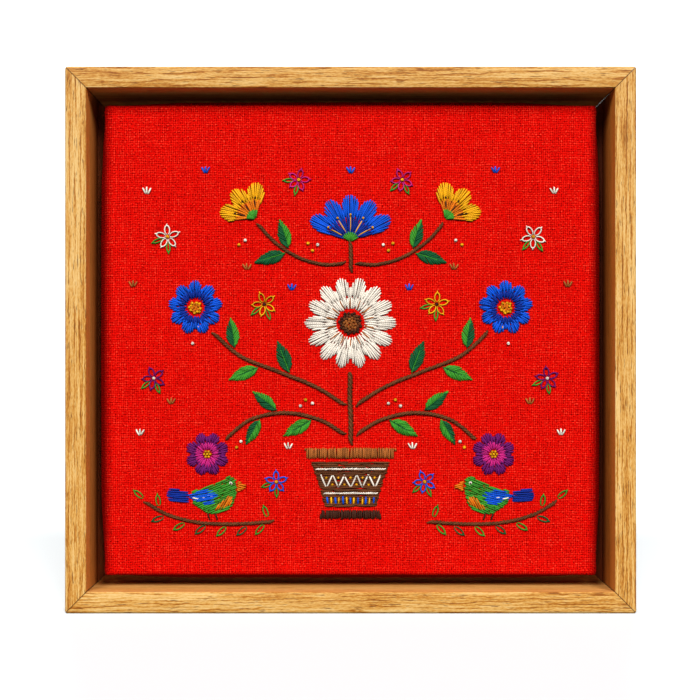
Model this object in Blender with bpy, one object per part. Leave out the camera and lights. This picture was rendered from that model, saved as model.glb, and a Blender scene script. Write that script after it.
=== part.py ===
"""Embroidered picture in a floating oak frame.

Red linen is stretched round a wooden stretcher and worked in thick cotton with a pot of flowers
and two birds. Screws from behind hold it in a mitred oak frame, with a shadow gap all round.
Metres, +Z up. The picture faces -Y and stands on its bottom rail, with the origin under its middle.
"""

import math
from collections import namedtuple

import bmesh
import bpy
from mathutils import Vector

MM = 0.001
CLEARANCE = 0.3 * MM

# Oak frame: an L section, with a wall round the picture and a ledge behind it
FRAME_WIDTH = 326 * MM
FRAME_HEIGHT = 312 * MM
FRAME_DEPTH = 40 * MM
RAIL_FACE = 12 * MM
LEDGE_WIDTH = 20 * MM
LEDGE_THICKNESS = 7 * MM
OUTER_ROUND = 0.9 * MM
INNER_ROUND = 0.5 * MM
FRONT_Y = -FRAME_DEPTH / 2
BACK_Y = FRAME_DEPTH / 2
LEDGE_Y = BACK_Y - LEDGE_THICKNESS

# Linen: one sheet over the stretcher's front and sides, turned over onto its back
CLOTH_WIDTH = 285.8 * MM
CLOTH_HEIGHT = 273.2 * MM
CLOTH_THICKNESS = 1 * MM
CLOTH_RECESS = 12 * MM
TURN_OVER = 25 * MM
CLOTH_EDGE_RADIUS = 1.8 * MM
CLOTH_CORNER_RADIUS = 1.5 * MM
SIDE_BOWS = {(1, 0): 0.45 * MM, (0, 1): 0.45 * MM, (-1, 0): 0.55 * MM, (0, -1): 0.0}
CUT_EDGE_WAVE = 0.7 * MM
TUCK_LENGTH = 36 * MM
TUCK_INSET = 1.2 * MM
TUCK_HEIGHT = 1.0 * MM
TUCK_TAIL_HEIGHT = 0.25 * MM
SIDE_STEPS = 8
CORNER_STEPS = 3
EDGE_STEPS = 3
PANEL_Z = FRAME_HEIGHT / 2
CLOTH_Y = FRONT_Y + CLOTH_RECESS

# Stretcher: four mitred bars inside the turned cloth
BAR_WIDTH = 36 * MM
BAR_DEPTH = 17 * MM
BAR_FALL = 1.5 * MM
BAR_ROUND = 0.8 * MM
BAR_FRONT_Y = CLOTH_Y + CLOTH_THICKNESS + CLEARANCE
BAR_BACK_Y = BAR_FRONT_Y + BAR_DEPTH
CLOTH_BACK_Y = BAR_BACK_Y + CLEARANCE + CLOTH_THICKNESS

# Screws, two through each ledge
SCREW_RADIUS = 1.75 * MM
SCREW_TIP_RADIUS = 0.5 * MM
SCREW_LENGTH = 20 * MM
SCREW_HEAD_RADIUS = 3.5 * MM
SCREW_HEAD_RIM = 0.3 * MM
SCREW_POINT = 3 * MM
SCREW_SINK = 0.5 * MM
SCREW_SIDES = 12
SCREW_INSET = 26.5 * MM
SCREW_SPACING = 145 * MM
HOLE_CLEARANCE = 0.35 * MM
HOLE_OVERSHOOT = 2 * MM

# Embroidery: raised pads of stitching, placed in millimetres on the cloth from its centre
STITCH_HEIGHT = 1.2 * MM
STEM_HEIGHT = 1.1 * MM
PAD_RISE = [(1.0, 0.0), (1.0, 0.45), (0.84, 0.9), (0.5, 1.0)]
EYE_RIM_RISE = 0.8
STEM_SECTION = [(-0.5, 0), (-0.42, 0.6), (0, 1), (0.42, 0.6), (0.5, 0)]
STEM_END_TAPER = 0.6
STEM_SAMPLES = 4
LEAF_GAP = 0.9
LEAF_STATIONS = 6
LEAF_FULLNESS = 0.85
POINTS_PER_PETAL = 4
PETAL_ROUNDNESS = 0.5
FAN_MIDDLE = 0.45
POT_WAIST = 0.6
EYE_SIDES = 12
BIRD_SAMPLES = 2

Pot = namedtuple("Pot", "name top bottom half_top half_bottom material")
Stem = namedtuple("Stem", "name mirrored width points")
Leaf = namedtuple("Leaf", "name stem along flank length width spread material")
Blossom = namedtuple("Blossom", "name mirrored u v petals radius eye waist spread facing material")
Eye = namedtuple("Eye", "name mirrored u v radius material")

POTS = [
    Pot("pot_rim", -62.0, -69.0, 27.0, 26.0, "thread_tan"),
    Pot("pot_body", -70.0, -97.0, 23.5, 15.5, "thread_brown"),
    Pot("pot_foot", -98.0, -104.0, 17.5, 19.5, "thread_dark_brown"),
]
STEMS = [
    Stem("stem_lower", False, 3.2, [(0, -61.0), (0.3, -48), (-0.3, -34), (0, -19.0)]),
    Stem("stem_upper", False, 2.8, [(0, 39.0), (0.3, 48), (0, 57.5)]),
    Stem("branch_low", True, 2.6, [(2.8, -55), (18, -46), (38, -42), (58, -46), (72, -57)]),
    Stem("branch_middle", True, 2.6, [(2.6, -38), (20, -27), (42, -18), (64, -9), (80, 5)]),
    Stem("branch_high", True, 2.4, [(2.4, 45), (15, 44), (30, 48), (44, 57), (54, 68)]),
    Stem("twig", True, 2.4, [(44, -105), (66, -106.4), (88, -105.6), (106, -101), (120, -93)]),
]
LEAVES = [
    Leaf("leaf_low_inner", "branch_low", 0.34, -1, 18, 7.6, 46, "thread_green"),
    Leaf("leaf_low_outer", "branch_low", 0.66, -1, 16, 7.0, 44, "thread_dark_green"),
    Leaf("leaf_low_top", "branch_low", 0.58, 1, 17, 7.2, 44, "thread_green"),
    Leaf("leaf_middle_inner", "branch_middle", 0.42, 1, 19, 8.0, 48, "thread_dark_green"),
    Leaf("leaf_middle_under", "branch_middle", 0.64, -1, 18, 7.6, 44, "thread_green"),
    Leaf("leaf_middle_top", "branch_middle", 0.80, 1, 17, 7.4, 44, "thread_green"),
    Leaf("leaf_high_top", "branch_high", 0.62, 1, 17, 7.4, 40, "thread_green"),
    Leaf("leaf_high_under", "branch_high", 0.62, -1, 18, 7.6, 50, "thread_dark_green"),
]
BLOSSOMS = [
    Blossom("daisy", False, 0, 10, 14, 27, 8.0, 0.62, 360, 0, "thread_cream"),
    Blossom("crown_flower", False, 0, 58, 5, 27, 0, 0.62, 150, 0, "thread_blue"),
    Blossom("cornflower", True, 90, 19, 9, 16, 5.0, 0.64, 360, 0, "thread_blue"),
    Blossom("bell_flower", True, 55.5, 71, 3, 21, 0, 0.62, 120, 38, "thread_yellow"),
    Blossom("aster", True, 83, -66, 8, 13, 0, 0.64, 360, 0, "thread_purple"),
]
EYES = [
    Eye("daisy_eye", False, 0, 10, 7.4, "thread_dark_brown"),
    Eye("cornflower_eye", True, 90, 19, 4.4, "thread_yellow"),
]
# The right-hand bird, facing the pot: points of its outline about the middle of its body, joined by a curve
BIRD_CENTRE = (80, -91)
BIRD_POINTS = {
    "beak": (-20, 6.2),
    "forehead": (-14.8, 9.8),
    "crown": (-10.2, 12.4),
    "nape": (-4.6, 9.2),
    "back": (5, 5.8),
    "rump": (14, 3.6),
    "tail_top": (25, 5),
    "tail_end": (25.4, -1.6),
    "tail_under": (13.5, -3),
    "belly": (1, -9.8),
    "breast": (-10.6, -6),
    "throat": (-14.8, 2.8),
}

COLOURS = {
    "oak": (0.72, 0.45, 0.19),
    "pine": (0.75, 0.58, 0.36),
    "linen": (0.72, 0.012, 0.006),
    "steel": (0.55, 0.53, 0.48),
    "thread_cream": (0.88, 0.80, 0.68),
    "thread_tan": (0.26, 0.13, 0.055),
    "thread_brown": (0.15, 0.055, 0.02),
    "thread_dark_brown": (0.055, 0.018, 0.008),
    "thread_green": (0.07, 0.25, 0.04),
    "thread_dark_green": (0.01, 0.09, 0.035),
    "thread_blue": (0.01, 0.09, 0.52),
    "thread_yellow": (0.80, 0.36, 0.015),
    "thread_purple": (0.17, 0.008, 0.13),
}
ROUGHNESS = {"oak": 0.55, "pine": 0.65, "linen": 0.85, "steel": 0.35}
THREAD_ROUGHNESS = 0.6


def clear_scene():
    """Takes out whatever the file opened with."""
    for item in list(bpy.data.objects):
        bpy.data.objects.remove(item, do_unlink=True)


def finish(name):
    """The material of that name, made once from the colour table."""
    found = bpy.data.materials.get(name)
    if found:
        return found
    made = bpy.data.materials.new(name)
    made.use_nodes = True
    shader = made.node_tree.nodes["Principled BSDF"]
    shader.inputs["Base Color"].default_value = (*COLOURS[name], 1)
    shader.inputs["Roughness"].default_value = ROUGHNESS.get(name, THREAD_ROUGHNESS)
    shader.inputs["Metallic"].default_value = 1.0 if name == "steel" else 0.0
    made.diffuse_color = (*COLOURS[name], 1)
    return made


def solid(name, points, faces, material):
    """A closed mesh object with its faces turned outwards."""
    mesh = bpy.data.meshes.new(name)
    mesh.from_pydata(points, [], faces)
    shape = bmesh.new()
    shape.from_mesh(mesh)
    bmesh.ops.recalc_face_normals(shape, faces=shape.faces)
    shape.to_mesh(mesh)
    shape.free()
    made = bpy.data.objects.new(name, mesh)
    bpy.context.collection.objects.link(made)
    mesh.materials.append(finish(material))
    return made


def lofted(loops):
    """Points and faces of closed loops of one length joined in order, with a face over the first and the last."""
    count = len(loops[0])
    points = [point for loop in loops for point in loop]
    faces = [list(range(count)), list(range(len(points) - count, len(points)))]
    for row in range(len(loops) - 1):
        for i in range(count):
            j = (i + 1) % count
            low = row * count
            high = low + count
            faces.append([low + i, low + j, high + j, high + i])
    return points, faces


def rounded(corners, steps=2):
    """A closed outline whose corners, (x, y, radius), are turned on a short curve."""
    outline = []
    for i, (x, y, radius) in enumerate(corners):
        here = Vector((x, y))
        if not radius:
            outline.append((x, y))
            continue
        before = (Vector(corners[i - 1][:2]) - here).normalized() * radius + here
        after = (Vector(corners[(i + 1) % len(corners)][:2]) - here).normalized() * radius + here
        for step in range(steps + 1):
            t = step / steps
            outline.append(tuple(before * (1 - t) ** 2 + here * 2 * t * (1 - t) + after * t**2))
    return outline


def mitred_bars(prefix, profile, width, height, centre_z, material):
    """Four bars of one profile, (inward, y) from the outer edge, that meet at 45 degrees a clearance apart."""
    shift = CLEARANCE / math.sqrt(2)
    sides = {"bottom": (0, -1), "top": (0, 1), "left": (-1, 0), "right": (1, 0)}
    for side, (across, up) in sides.items():
        loops = []
        for end in (-1, 1):
            loop = []
            for inward, y in profile:
                x = across * (width / 2 - inward) or end * (width / 2 - inward - shift)
                z = up * (height / 2 - inward) or end * (height / 2 - inward - shift)
                loop.append((x, y, centre_z + z))
            loops.append(loop)
        solid(f"{prefix}_{side}", *lofted(loops), material)


def make_frame():
    """The oak rails: rounded front arrises, a plain wall and the ledge behind."""
    profile = rounded([
        (0, FRONT_Y, OUTER_ROUND),
        (RAIL_FACE, FRONT_Y, INNER_ROUND),
        (RAIL_FACE, LEDGE_Y, 0),
        (RAIL_FACE + LEDGE_WIDTH, LEDGE_Y, 0),
        (RAIL_FACE + LEDGE_WIDTH, BACK_Y, INNER_ROUND),
        (0, BACK_Y, OUTER_ROUND),
    ])
    mitred_bars("frame", profile, FRAME_WIDTH, FRAME_HEIGHT, FRAME_HEIGHT / 2, "oak")


def make_stretcher():
    """The stretcher bars, whose fronts fall away inwards so that the cloth touches only the outer edge."""
    inset = CLOTH_THICKNESS + CLEARANCE
    profile = rounded([
        (0, BAR_FRONT_Y, BAR_ROUND),
        (BAR_WIDTH, BAR_FRONT_Y + BAR_FALL, 0),
        (BAR_WIDTH, BAR_BACK_Y, 0),
        (0, BAR_BACK_Y, BAR_ROUND),
    ])
    mitred_bars("stretcher", profile, CLOTH_WIDTH - 2 * inset, CLOTH_HEIGHT - 2 * inset, PANEL_Z, "pine")


def cloth_loop(inset, y, corner_radius, wave=0.0):
    """One loop round the panel: a rectangle with round corners, each side bowed in or out by its own amount."""
    half = (CLOTH_WIDTH / 2 - inset, CLOTH_HEIGHT / 2 - inset)
    loop = []
    for (across, up), bow in SIDE_BOWS.items():
        reach = half[0] if across else half[1]
        run = (half[1] if across else half[0]) - corner_radius
        for step in range(SIDE_STEPS + 1):
            share = 2 * step / SIDE_STEPS - 1
            out = reach + bow * (1 - share**2) + wave * math.sin(5 * share + 2 * across + up)
            loop.append((across * out - up * run * share, across * run * share + up * out))
        for step in range(1, CORNER_STEPS):
            turn = math.atan2(up, across) + math.pi / 2 * step / CORNER_STEPS
            centre = (across - up) * (half[0] - corner_radius), (up + across) * (half[1] - corner_radius)
            loop.append((
                centre[0] + corner_radius * math.cos(turn),
                centre[1] + corner_radius * math.sin(turn),
            ))
    return [(x, y, PANEL_Z + z) for x, z in loop]


def wrapped_surface(offset):
    """Loops of one surface of the cloth from its cut edge behind to its front, offset inwards from the outer one."""
    radius = CLOTH_EDGE_RADIUS - offset
    corner = CLOTH_CORNER_RADIUS - offset
    back = CLOTH_BACK_Y - offset
    front = CLOTH_Y + offset
    loops = [cloth_loop(TURN_OVER, back, corner, CUT_EDGE_WAVE)]
    for centre_y, direction in ((back - radius, 1), (front + radius, -1)):
        for step in range(EDGE_STEPS + 1):
            turn = math.pi / 2 * step / EDGE_STEPS
            turn = math.pi / 2 - turn if direction == 1 else turn
            inset = offset + radius * (1 - math.cos(turn))
            loops.append(cloth_loop(inset, centre_y + direction * radius * math.sin(turn), corner))
    return loops


def add_boolean(target, other, operation):
    """Joins or cuts the target with the other object, which is then only a guide."""
    change = target.modifiers.new(other.name, "BOOLEAN")
    change.operation = operation
    change.object = other
    change.solver = "EXACT"
    other.hide_render = True
    other.display_type = "WIRE"


def make_tucks(cloth):
    """The folded layers under each corner of the turn-over: wedges, thick on the diagonal, that thin out inwards."""
    root = CLOTH_BACK_Y - CLOTH_THICKNESS / 2
    outer = (CLOTH_WIDTH / 2 - TUCK_INSET, CLOTH_HEIGHT / 2 - TUCK_INSET)
    inner = (CLOTH_WIDTH / 2 - TURN_OVER + TUCK_INSET, CLOTH_HEIGHT / 2 - TURN_OVER + TUCK_INSET)
    tail = (CLOTH_WIDTH / 2 - TUCK_LENGTH, outer[1])
    for across in (-1, 1):
        for up in (-1, 1):
            plan = [(outer, TUCK_HEIGHT), (inner, TUCK_HEIGHT), (tail, TUCK_TAIL_HEIGHT)]
            places = [(across * x, PANEL_Z + up * z, height) for (x, z), height in plan]
            low = [(x, root, z) for x, z, height in places]
            high = [(x, CLOTH_BACK_Y + height, z) for x, z, height in places]
            tuck = solid(f"tuck_guide_{across}_{up}", *lofted([low, high]), "linen")
            add_boolean(cloth, tuck, "UNION")


def make_cloth():
    """The linen, as one sheet with an outer and an inner surface joined along its cut edge."""
    outer = wrapped_surface(0)
    inner = wrapped_surface(CLOTH_THICKNESS)
    cloth = solid("linen_cloth", *lofted(inner[::-1] + outer), "linen")
    make_tucks(cloth)
    return cloth


def turned(name, profile, place, material):
    """A round solid on an axis along Y through the place, from (radius, y) pairs that start and end on the axis."""
    loops = []
    for radius, y in profile[1:-1]:
        loops.append([
            (
                place[0] + radius * math.cos(2 * math.pi * i / SCREW_SIDES),
                y,
                place[1] + radius * math.sin(2 * math.pi * i / SCREW_SIDES),
            )
            for i in range(SCREW_SIDES)
        ])
    return solid(name, *lofted(loops), material)


def screw_profile():
    """The countersunk screw, from its point to the flat of its head."""
    head = BACK_Y - SCREW_SINK
    point = head - SCREW_LENGTH
    rim = head - SCREW_HEAD_RIM
    neck = rim - (SCREW_HEAD_RADIUS - SCREW_RADIUS)
    return [
        (0, point),
        (SCREW_TIP_RADIUS, point),
        (SCREW_RADIUS, point + SCREW_POINT),
        (SCREW_RADIUS, neck),
        (SCREW_HEAD_RADIUS, rim),
        (SCREW_HEAD_RADIUS, head),
        (0, head),
    ]


def hole_profile():
    """The drilled and countersunk hole, clear of the screw all round and open at the back."""
    head = BACK_Y - SCREW_SINK
    bottom = head - SCREW_LENGTH - HOLE_CLEARANCE
    rim = head - SCREW_HEAD_RIM - HOLE_CLEARANCE * math.tan(math.pi / 8)
    neck = rim - (SCREW_HEAD_RADIUS - SCREW_RADIUS)
    return [
        (0, bottom),
        (SCREW_RADIUS + HOLE_CLEARANCE, bottom),
        (SCREW_RADIUS + HOLE_CLEARANCE, neck),
        (SCREW_HEAD_RADIUS + HOLE_CLEARANCE, rim),
        (SCREW_HEAD_RADIUS + HOLE_CLEARANCE, BACK_Y + HOLE_OVERSHOOT),
        (0, BACK_Y + HOLE_OVERSHOOT),
    ]


def make_screws():
    """Eight screws, and the holes for them through the ledge and the cloth into the stretcher."""
    reach = FRAME_WIDTH / 2 - SCREW_INSET
    rise = FRAME_HEIGHT / 2 - SCREW_INSET
    places = {}
    for number, along in enumerate((-SCREW_SPACING / 2, SCREW_SPACING / 2), start=1):
        places[f"bottom_{number}"] = (along, PANEL_Z - rise)
        places[f"top_{number}"] = (along, PANEL_Z + rise)
        places[f"left_{number}"] = (-reach, PANEL_Z + along)
        places[f"right_{number}"] = (reach, PANEL_Z + along)
    for name, place in places.items():
        turned(f"screw_{name}", screw_profile(), place, "steel")
        hole = turned(f"hole_guide_{name}", hole_profile(), place, "steel")
        side = name.split("_")[0]
        for target in (f"frame_{side}", f"stretcher_{side}", "linen_cloth"):
            add_boolean(bpy.data.objects[target], hole, "DIFFERENCE")


def on_cloth(u, v, height):
    """A place on the cloth's face, u and v in millimetres from its centre, raised by a height in metres."""
    return (u * MM, CLOTH_Y - CLEARANCE - height, PANEL_Z + v * MM)


def pad(name, outline, middle, material, hole=None):
    """A raised patch of stitching: the outline stands up, draws in and closes over, or runs down into a round hole."""
    loops = []
    for share, height in PAD_RISE:
        loops.append([
            on_cloth(middle[0] + (u - middle[0]) * share, middle[1] + (v - middle[1]) * share, height * STITCH_HEIGHT)
            for u, v in outline
        ])
    if hole:
        rim = [math.atan2(v - middle[1], u - middle[0]) for u, v in outline]
        ring = [(middle[0] + hole * math.cos(turn), middle[1] + hole * math.sin(turn)) for turn in rim]
        loops = loops[:3]
        loops.append([on_cloth(u, v, EYE_RIM_RISE * STITCH_HEIGHT) for u, v in ring])
        loops.append([on_cloth(u, v, 0) for u, v in ring])
        points, faces = lofted(loops + loops[:1])
        count = len(outline)
        points = points[:-count]
        faces = [[i % len(points) for i in face] for face in faces[2:]]
        return solid(name, points, faces, material)
    return solid(name, *lofted(loops), material)


def smooth_path(points, samples=STEM_SAMPLES, closed=False):
    """A Catmull-Rom curve through the points, open or closed, with a few samples between each two."""
    around = [points[-1], *points, points[0], points[1]] if closed else [points[0], *points, points[-1]]
    path = []
    for i in range(len(around) - 3):
        before, start, end, after = (Vector(p) for p in around[i : i + 4])
        for step in range(samples):
            t = step / samples
            path.append(0.5 * (
                2 * start
                + (end - before) * t
                + (2 * before - 5 * start + 4 * end - after) * t**2
                + (3 * start - before - 3 * end + after) * t**3
            ))
    return path if closed else [*path, Vector(points[-1])]


def heading(path, i):
    """The unit direction of a path at one of its points."""
    return (path[min(i + 1, len(path) - 1)] - path[max(i - 1, 0)]).normalized()


def make_stem(stem, side):
    """A rope of stem stitch: a low ridge along its path, narrower at both ends."""
    path = smooth_path([(side * u, v) for u, v in stem.points])
    loops = []
    for i, place in enumerate(path):
        along = heading(path, i)
        taper = STEM_END_TAPER if i in (0, len(path) - 1) else 1.0
        loops.append([
            on_cloth(
                place.x - along.y * offset * stem.width * taper,
                place.y + along.x * offset * stem.width * taper,
                height * taper * STEM_HEIGHT,
            )
            for offset, height in STEM_SECTION
        ])
    solid(side_name(stem.name, stem.mirrored, side), *lofted(loops), "thread_brown")


def side_name(name, mirrored, side):
    """The name of a piece, with its side where it is one of a pair."""
    return f"{name}_{'right' if side > 0 else 'left'}" if mirrored else name


def leaf_outline(base, direction, length, width):
    """A leaf from its base: the half width follows the sine of the way along, drawn out to a point."""
    across = Vector((-direction.y, direction.x))
    near, far = [], []
    for station in range(1, LEAF_STATIONS):
        share = station / LEAF_STATIONS
        half = width / 2 * math.sin(math.pi * share**LEAF_FULLNESS)
        spine = base + direction * length * share
        near.append(spine + across * half)
        far.append(spine - across * half)
    tip = base + direction * length
    return [tuple(p) for p in [base, *near, tip, *far[::-1]]]


def make_leaf(leaf, side):
    """A leaf beside its stem, a little clear of it and turned away from it."""
    stem = next(row for row in STEMS if row.name == leaf.stem)
    path = smooth_path(stem.points)
    i = round(leaf.along * (len(path) - 1))
    along = heading(path, i)
    turn = math.radians(leaf.spread) * leaf.flank
    direction = Vector((
        along.x * math.cos(turn) - along.y * math.sin(turn),
        along.x * math.sin(turn) + along.y * math.cos(turn),
    ))
    outwards = Vector((-along.y, along.x)) * leaf.flank
    base = path[i] + outwards * (stem.width / 2 + LEAF_GAP)
    outline = leaf_outline(base, direction, leaf.length, leaf.width)
    middle = base + direction * leaf.length / 2
    outline = [(side * u, v) for u, v in outline]
    pad(side_name(leaf.name, True, side), outline, (side * middle.x, middle.y), leaf.material)


def blossom_outline(blossom, side):
    """A lobed outline in polar form: each petal swells from the waist as the root of a sine. A fan closes at its foot."""
    full = blossom.spread >= 360
    steps = blossom.petals * POINTS_PER_PETAL
    outline = []
    for step in range(steps if full else steps + 1):
        share = step / steps
        turn = math.radians(blossom.spread * (share - 0.5) + blossom.facing)
        swell = abs(math.sin(math.pi * blossom.petals * share)) ** PETAL_ROUNDNESS
        reach = blossom.radius * (blossom.waist + (1 - blossom.waist) * swell)
        outline.append((side * (blossom.u + reach * math.sin(turn)), blossom.v + reach * math.cos(turn)))
    if not full:
        turn = math.radians(blossom.facing)
        outline.append((side * blossom.u, blossom.v))
        middle = (
            side * (blossom.u + FAN_MIDDLE * blossom.radius * math.sin(turn)),
            blossom.v + FAN_MIDDLE * blossom.radius * math.cos(turn),
        )
        return outline, middle
    return outline, (side * blossom.u, blossom.v)


def pot_outline(pot):
    """A band of the pot, with its sides drawn in a little between top and bottom."""
    waist = (pot.half_top + pot.half_bottom) / 2 - POT_WAIST
    middle = (pot.top + pot.bottom) / 2
    right = [(pot.half_top, pot.top), (waist, middle), (pot.half_bottom, pot.bottom)]
    left = [(-u, v) for u, v in right[::-1]]
    return right + left, (0, middle)


def make_embroidery():
    """Every raised patch of the design: pot, stems, leaves, blossoms and birds."""
    for row in POTS:
        pad(row.name, *pot_outline(row), row.material)
    for row in STEMS:
        for side in (-1, 1) if row.mirrored else (1,):
            make_stem(row, side)
    for row in LEAVES:
        for side in (-1, 1):
            make_leaf(row, side)
    for row in BLOSSOMS:
        for side in (-1, 1) if row.mirrored else (1,):
            outline, middle = blossom_outline(row, side)
            pad(side_name(row.name, row.mirrored, side), outline, middle, row.material, row.eye)
    for row in EYES:
        for side in (-1, 1) if row.mirrored else (1,):
            turns = [2 * math.pi * i / EYE_SIDES for i in range(EYE_SIDES)]
            outline = [
                (side * row.u + row.radius * math.cos(turn), row.v + row.radius * math.sin(turn)) for turn in turns
            ]
            pad(side_name(row.name, row.mirrored, side), outline, (side * row.u, row.v), row.material)
    body = smooth_path(list(BIRD_POINTS.values()), BIRD_SAMPLES, closed=True)
    for side in (-1, 1):
        outline = [(side * (BIRD_CENTRE[0] + u), BIRD_CENTRE[1] + v) for u, v in body]
        pad(side_name("bird", True, side), outline, (side * BIRD_CENTRE[0], BIRD_CENTRE[1]), "thread_green")


def main():
    """Builds the frame, the stretcher, the cloth, its screws and the stitching on it."""
    clear_scene()
    make_frame()
    make_stretcher()
    make_cloth()
    make_screws()
    make_embroidery()


main()
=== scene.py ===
"""Looks of an embroidered linen picture in a floating oak frame.

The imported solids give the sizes. This script lays the fine surfaces over them: linen drawn round its
stretcher, cotton stitches laid one by one, oak rails with rounded arrises, screws and staples.
Places on the linen are (u, v, h) in millimetres: u to the right and v up from its middle, h out of it.
"""

import logging
import math
from dataclasses import dataclass, field
from enum import Enum
from typing import Any, Iterator, Sequence

import bmesh
import bpy
import numpy as np
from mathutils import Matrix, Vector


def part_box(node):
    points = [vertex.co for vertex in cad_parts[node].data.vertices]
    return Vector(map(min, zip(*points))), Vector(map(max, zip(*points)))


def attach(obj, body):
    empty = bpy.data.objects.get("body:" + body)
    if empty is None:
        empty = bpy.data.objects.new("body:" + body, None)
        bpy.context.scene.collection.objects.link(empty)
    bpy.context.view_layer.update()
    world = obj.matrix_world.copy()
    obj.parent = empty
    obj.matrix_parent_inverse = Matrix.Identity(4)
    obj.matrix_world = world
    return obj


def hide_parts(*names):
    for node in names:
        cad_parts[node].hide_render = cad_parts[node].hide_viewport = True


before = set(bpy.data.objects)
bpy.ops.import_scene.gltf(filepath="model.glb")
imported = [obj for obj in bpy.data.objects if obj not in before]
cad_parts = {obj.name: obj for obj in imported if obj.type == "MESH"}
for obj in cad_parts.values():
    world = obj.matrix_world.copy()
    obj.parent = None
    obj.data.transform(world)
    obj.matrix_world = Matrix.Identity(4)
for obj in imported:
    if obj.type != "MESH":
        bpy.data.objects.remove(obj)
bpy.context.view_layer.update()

Array = np.ndarray
Piece = bpy.types.Object
Colour = tuple[int, int, int]
Rgba = tuple[float, float, float, float]
Point = tuple[float, float]

MM = 0.001
LOG = logging.getLogger("embroidered_picture")
BODY = "root"
SHARP_ANGLE = math.radians(35)
WAYS = {"bottom": (0, -1), "top": (0, 1), "left": (-1, 0), "right": (1, 0)}

LINEN_LOW, LINEN_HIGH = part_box("linen_cloth")
RAIL_LOW, RAIL_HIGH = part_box("frame_bottom")
FRONT_Y = RAIL_LOW.y
BACK_Y = RAIL_HIGH.y
FRAME_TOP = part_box("frame_top")[1].z
FRAME_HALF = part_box("frame_right")[1].x
LINEN_Y = LINEN_LOW.y
LINEN_BACK_Y = 11.6 * MM
PANEL_Z = FRAME_TOP / 2
RAIL_FACE = 12.3 * MM


def linear(colour: Sequence[float]) -> Rgba:
    """The linear colour, with an alpha of 1, of (r, g, b) from 0 to 255 as a screen shows it."""
    share = np.asarray(colour, float) / 255
    low = share / 12.92
    high = ((share + 0.055) / 1.055) ** 2.4
    return (*(float(x) for x in np.where(share <= 0.04045, low, high)), 1.0)


def unit(vectors: Array) -> Array:
    """Vectors of the last axis, at length 1."""
    return vectors / np.maximum(np.linalg.norm(vectors, axis=-1, keepdims=True), 1e-9)


def columns(*parts: Any) -> Array:
    """Arrays or numbers side by side, as the last axis of one array."""
    return np.stack(np.broadcast_arrays(*parts), -1)


def raised(flat: Array, height: Array) -> Array:
    """(..., 2) places with their heights, as (..., 3) places."""
    return columns(flat[..., 0], flat[..., 1], height)


def ray(turn: Any) -> Array:
    """Unit vectors (cosine, sine) at angles in radians."""
    return columns(np.cos(turn), np.sin(turn))


def all_round(count: int) -> Array:
    """Angles evenly all round, from 0, in radians."""
    return np.arange(count) * 2 * np.pi / count


def quarter_turn(vectors: Array) -> Array:
    """(..., 2) vectors turned a quarter to the left."""
    return columns(-vectors[..., 1], vectors[..., 0])


def between(starts: Array, ends: Array, way: Array) -> Array:
    """(n, k, 2) points on n straight lines, at k shares of the way."""
    return starts[:, None] + (ends - starts)[:, None] * way[None, :, None]


def arch(way: Array, power: float = 1.0) -> Array:
    """The sine of half a turn over the way along, to a power: 0 at both ends and 1 midway."""
    return np.sin(np.pi * way) ** power


def arc(centre: Sequence[float], radius: float, start: float, end: float, steps: int) -> Array:
    """Points on a circle, (steps + 1, 2), between two angles in degrees."""
    return np.array(centre) + radius * ray(np.radians(np.linspace(start, end, steps + 1)))


class Value:
    """A node's output, with the usual arithmetic."""

    def __init__(self, graph: "Graph", socket: bpy.types.NodeSocket) -> None:
        """Keeps the output and the nodes that it belongs to."""
        self.graph = graph
        self.socket = socket

    def __add__(self, other: Any) -> "Value":
        """The sum."""
        return self.graph.math("ADD", self, other)

    def __sub__(self, other: Any) -> "Value":
        """This less the other."""
        return self.graph.math("SUBTRACT", self, other)

    def __mul__(self, other: Any) -> "Value":
        """The product."""
        return self.graph.math("MULTIPLY", self, other)

    def __truediv__(self, other: Any) -> "Value":
        """This over the other."""
        return self.graph.math("DIVIDE", self, other)

    def __abs__(self) -> "Value":
        """The value without its sign."""
        return self.graph.math("ABSOLUTE", self)


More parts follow.
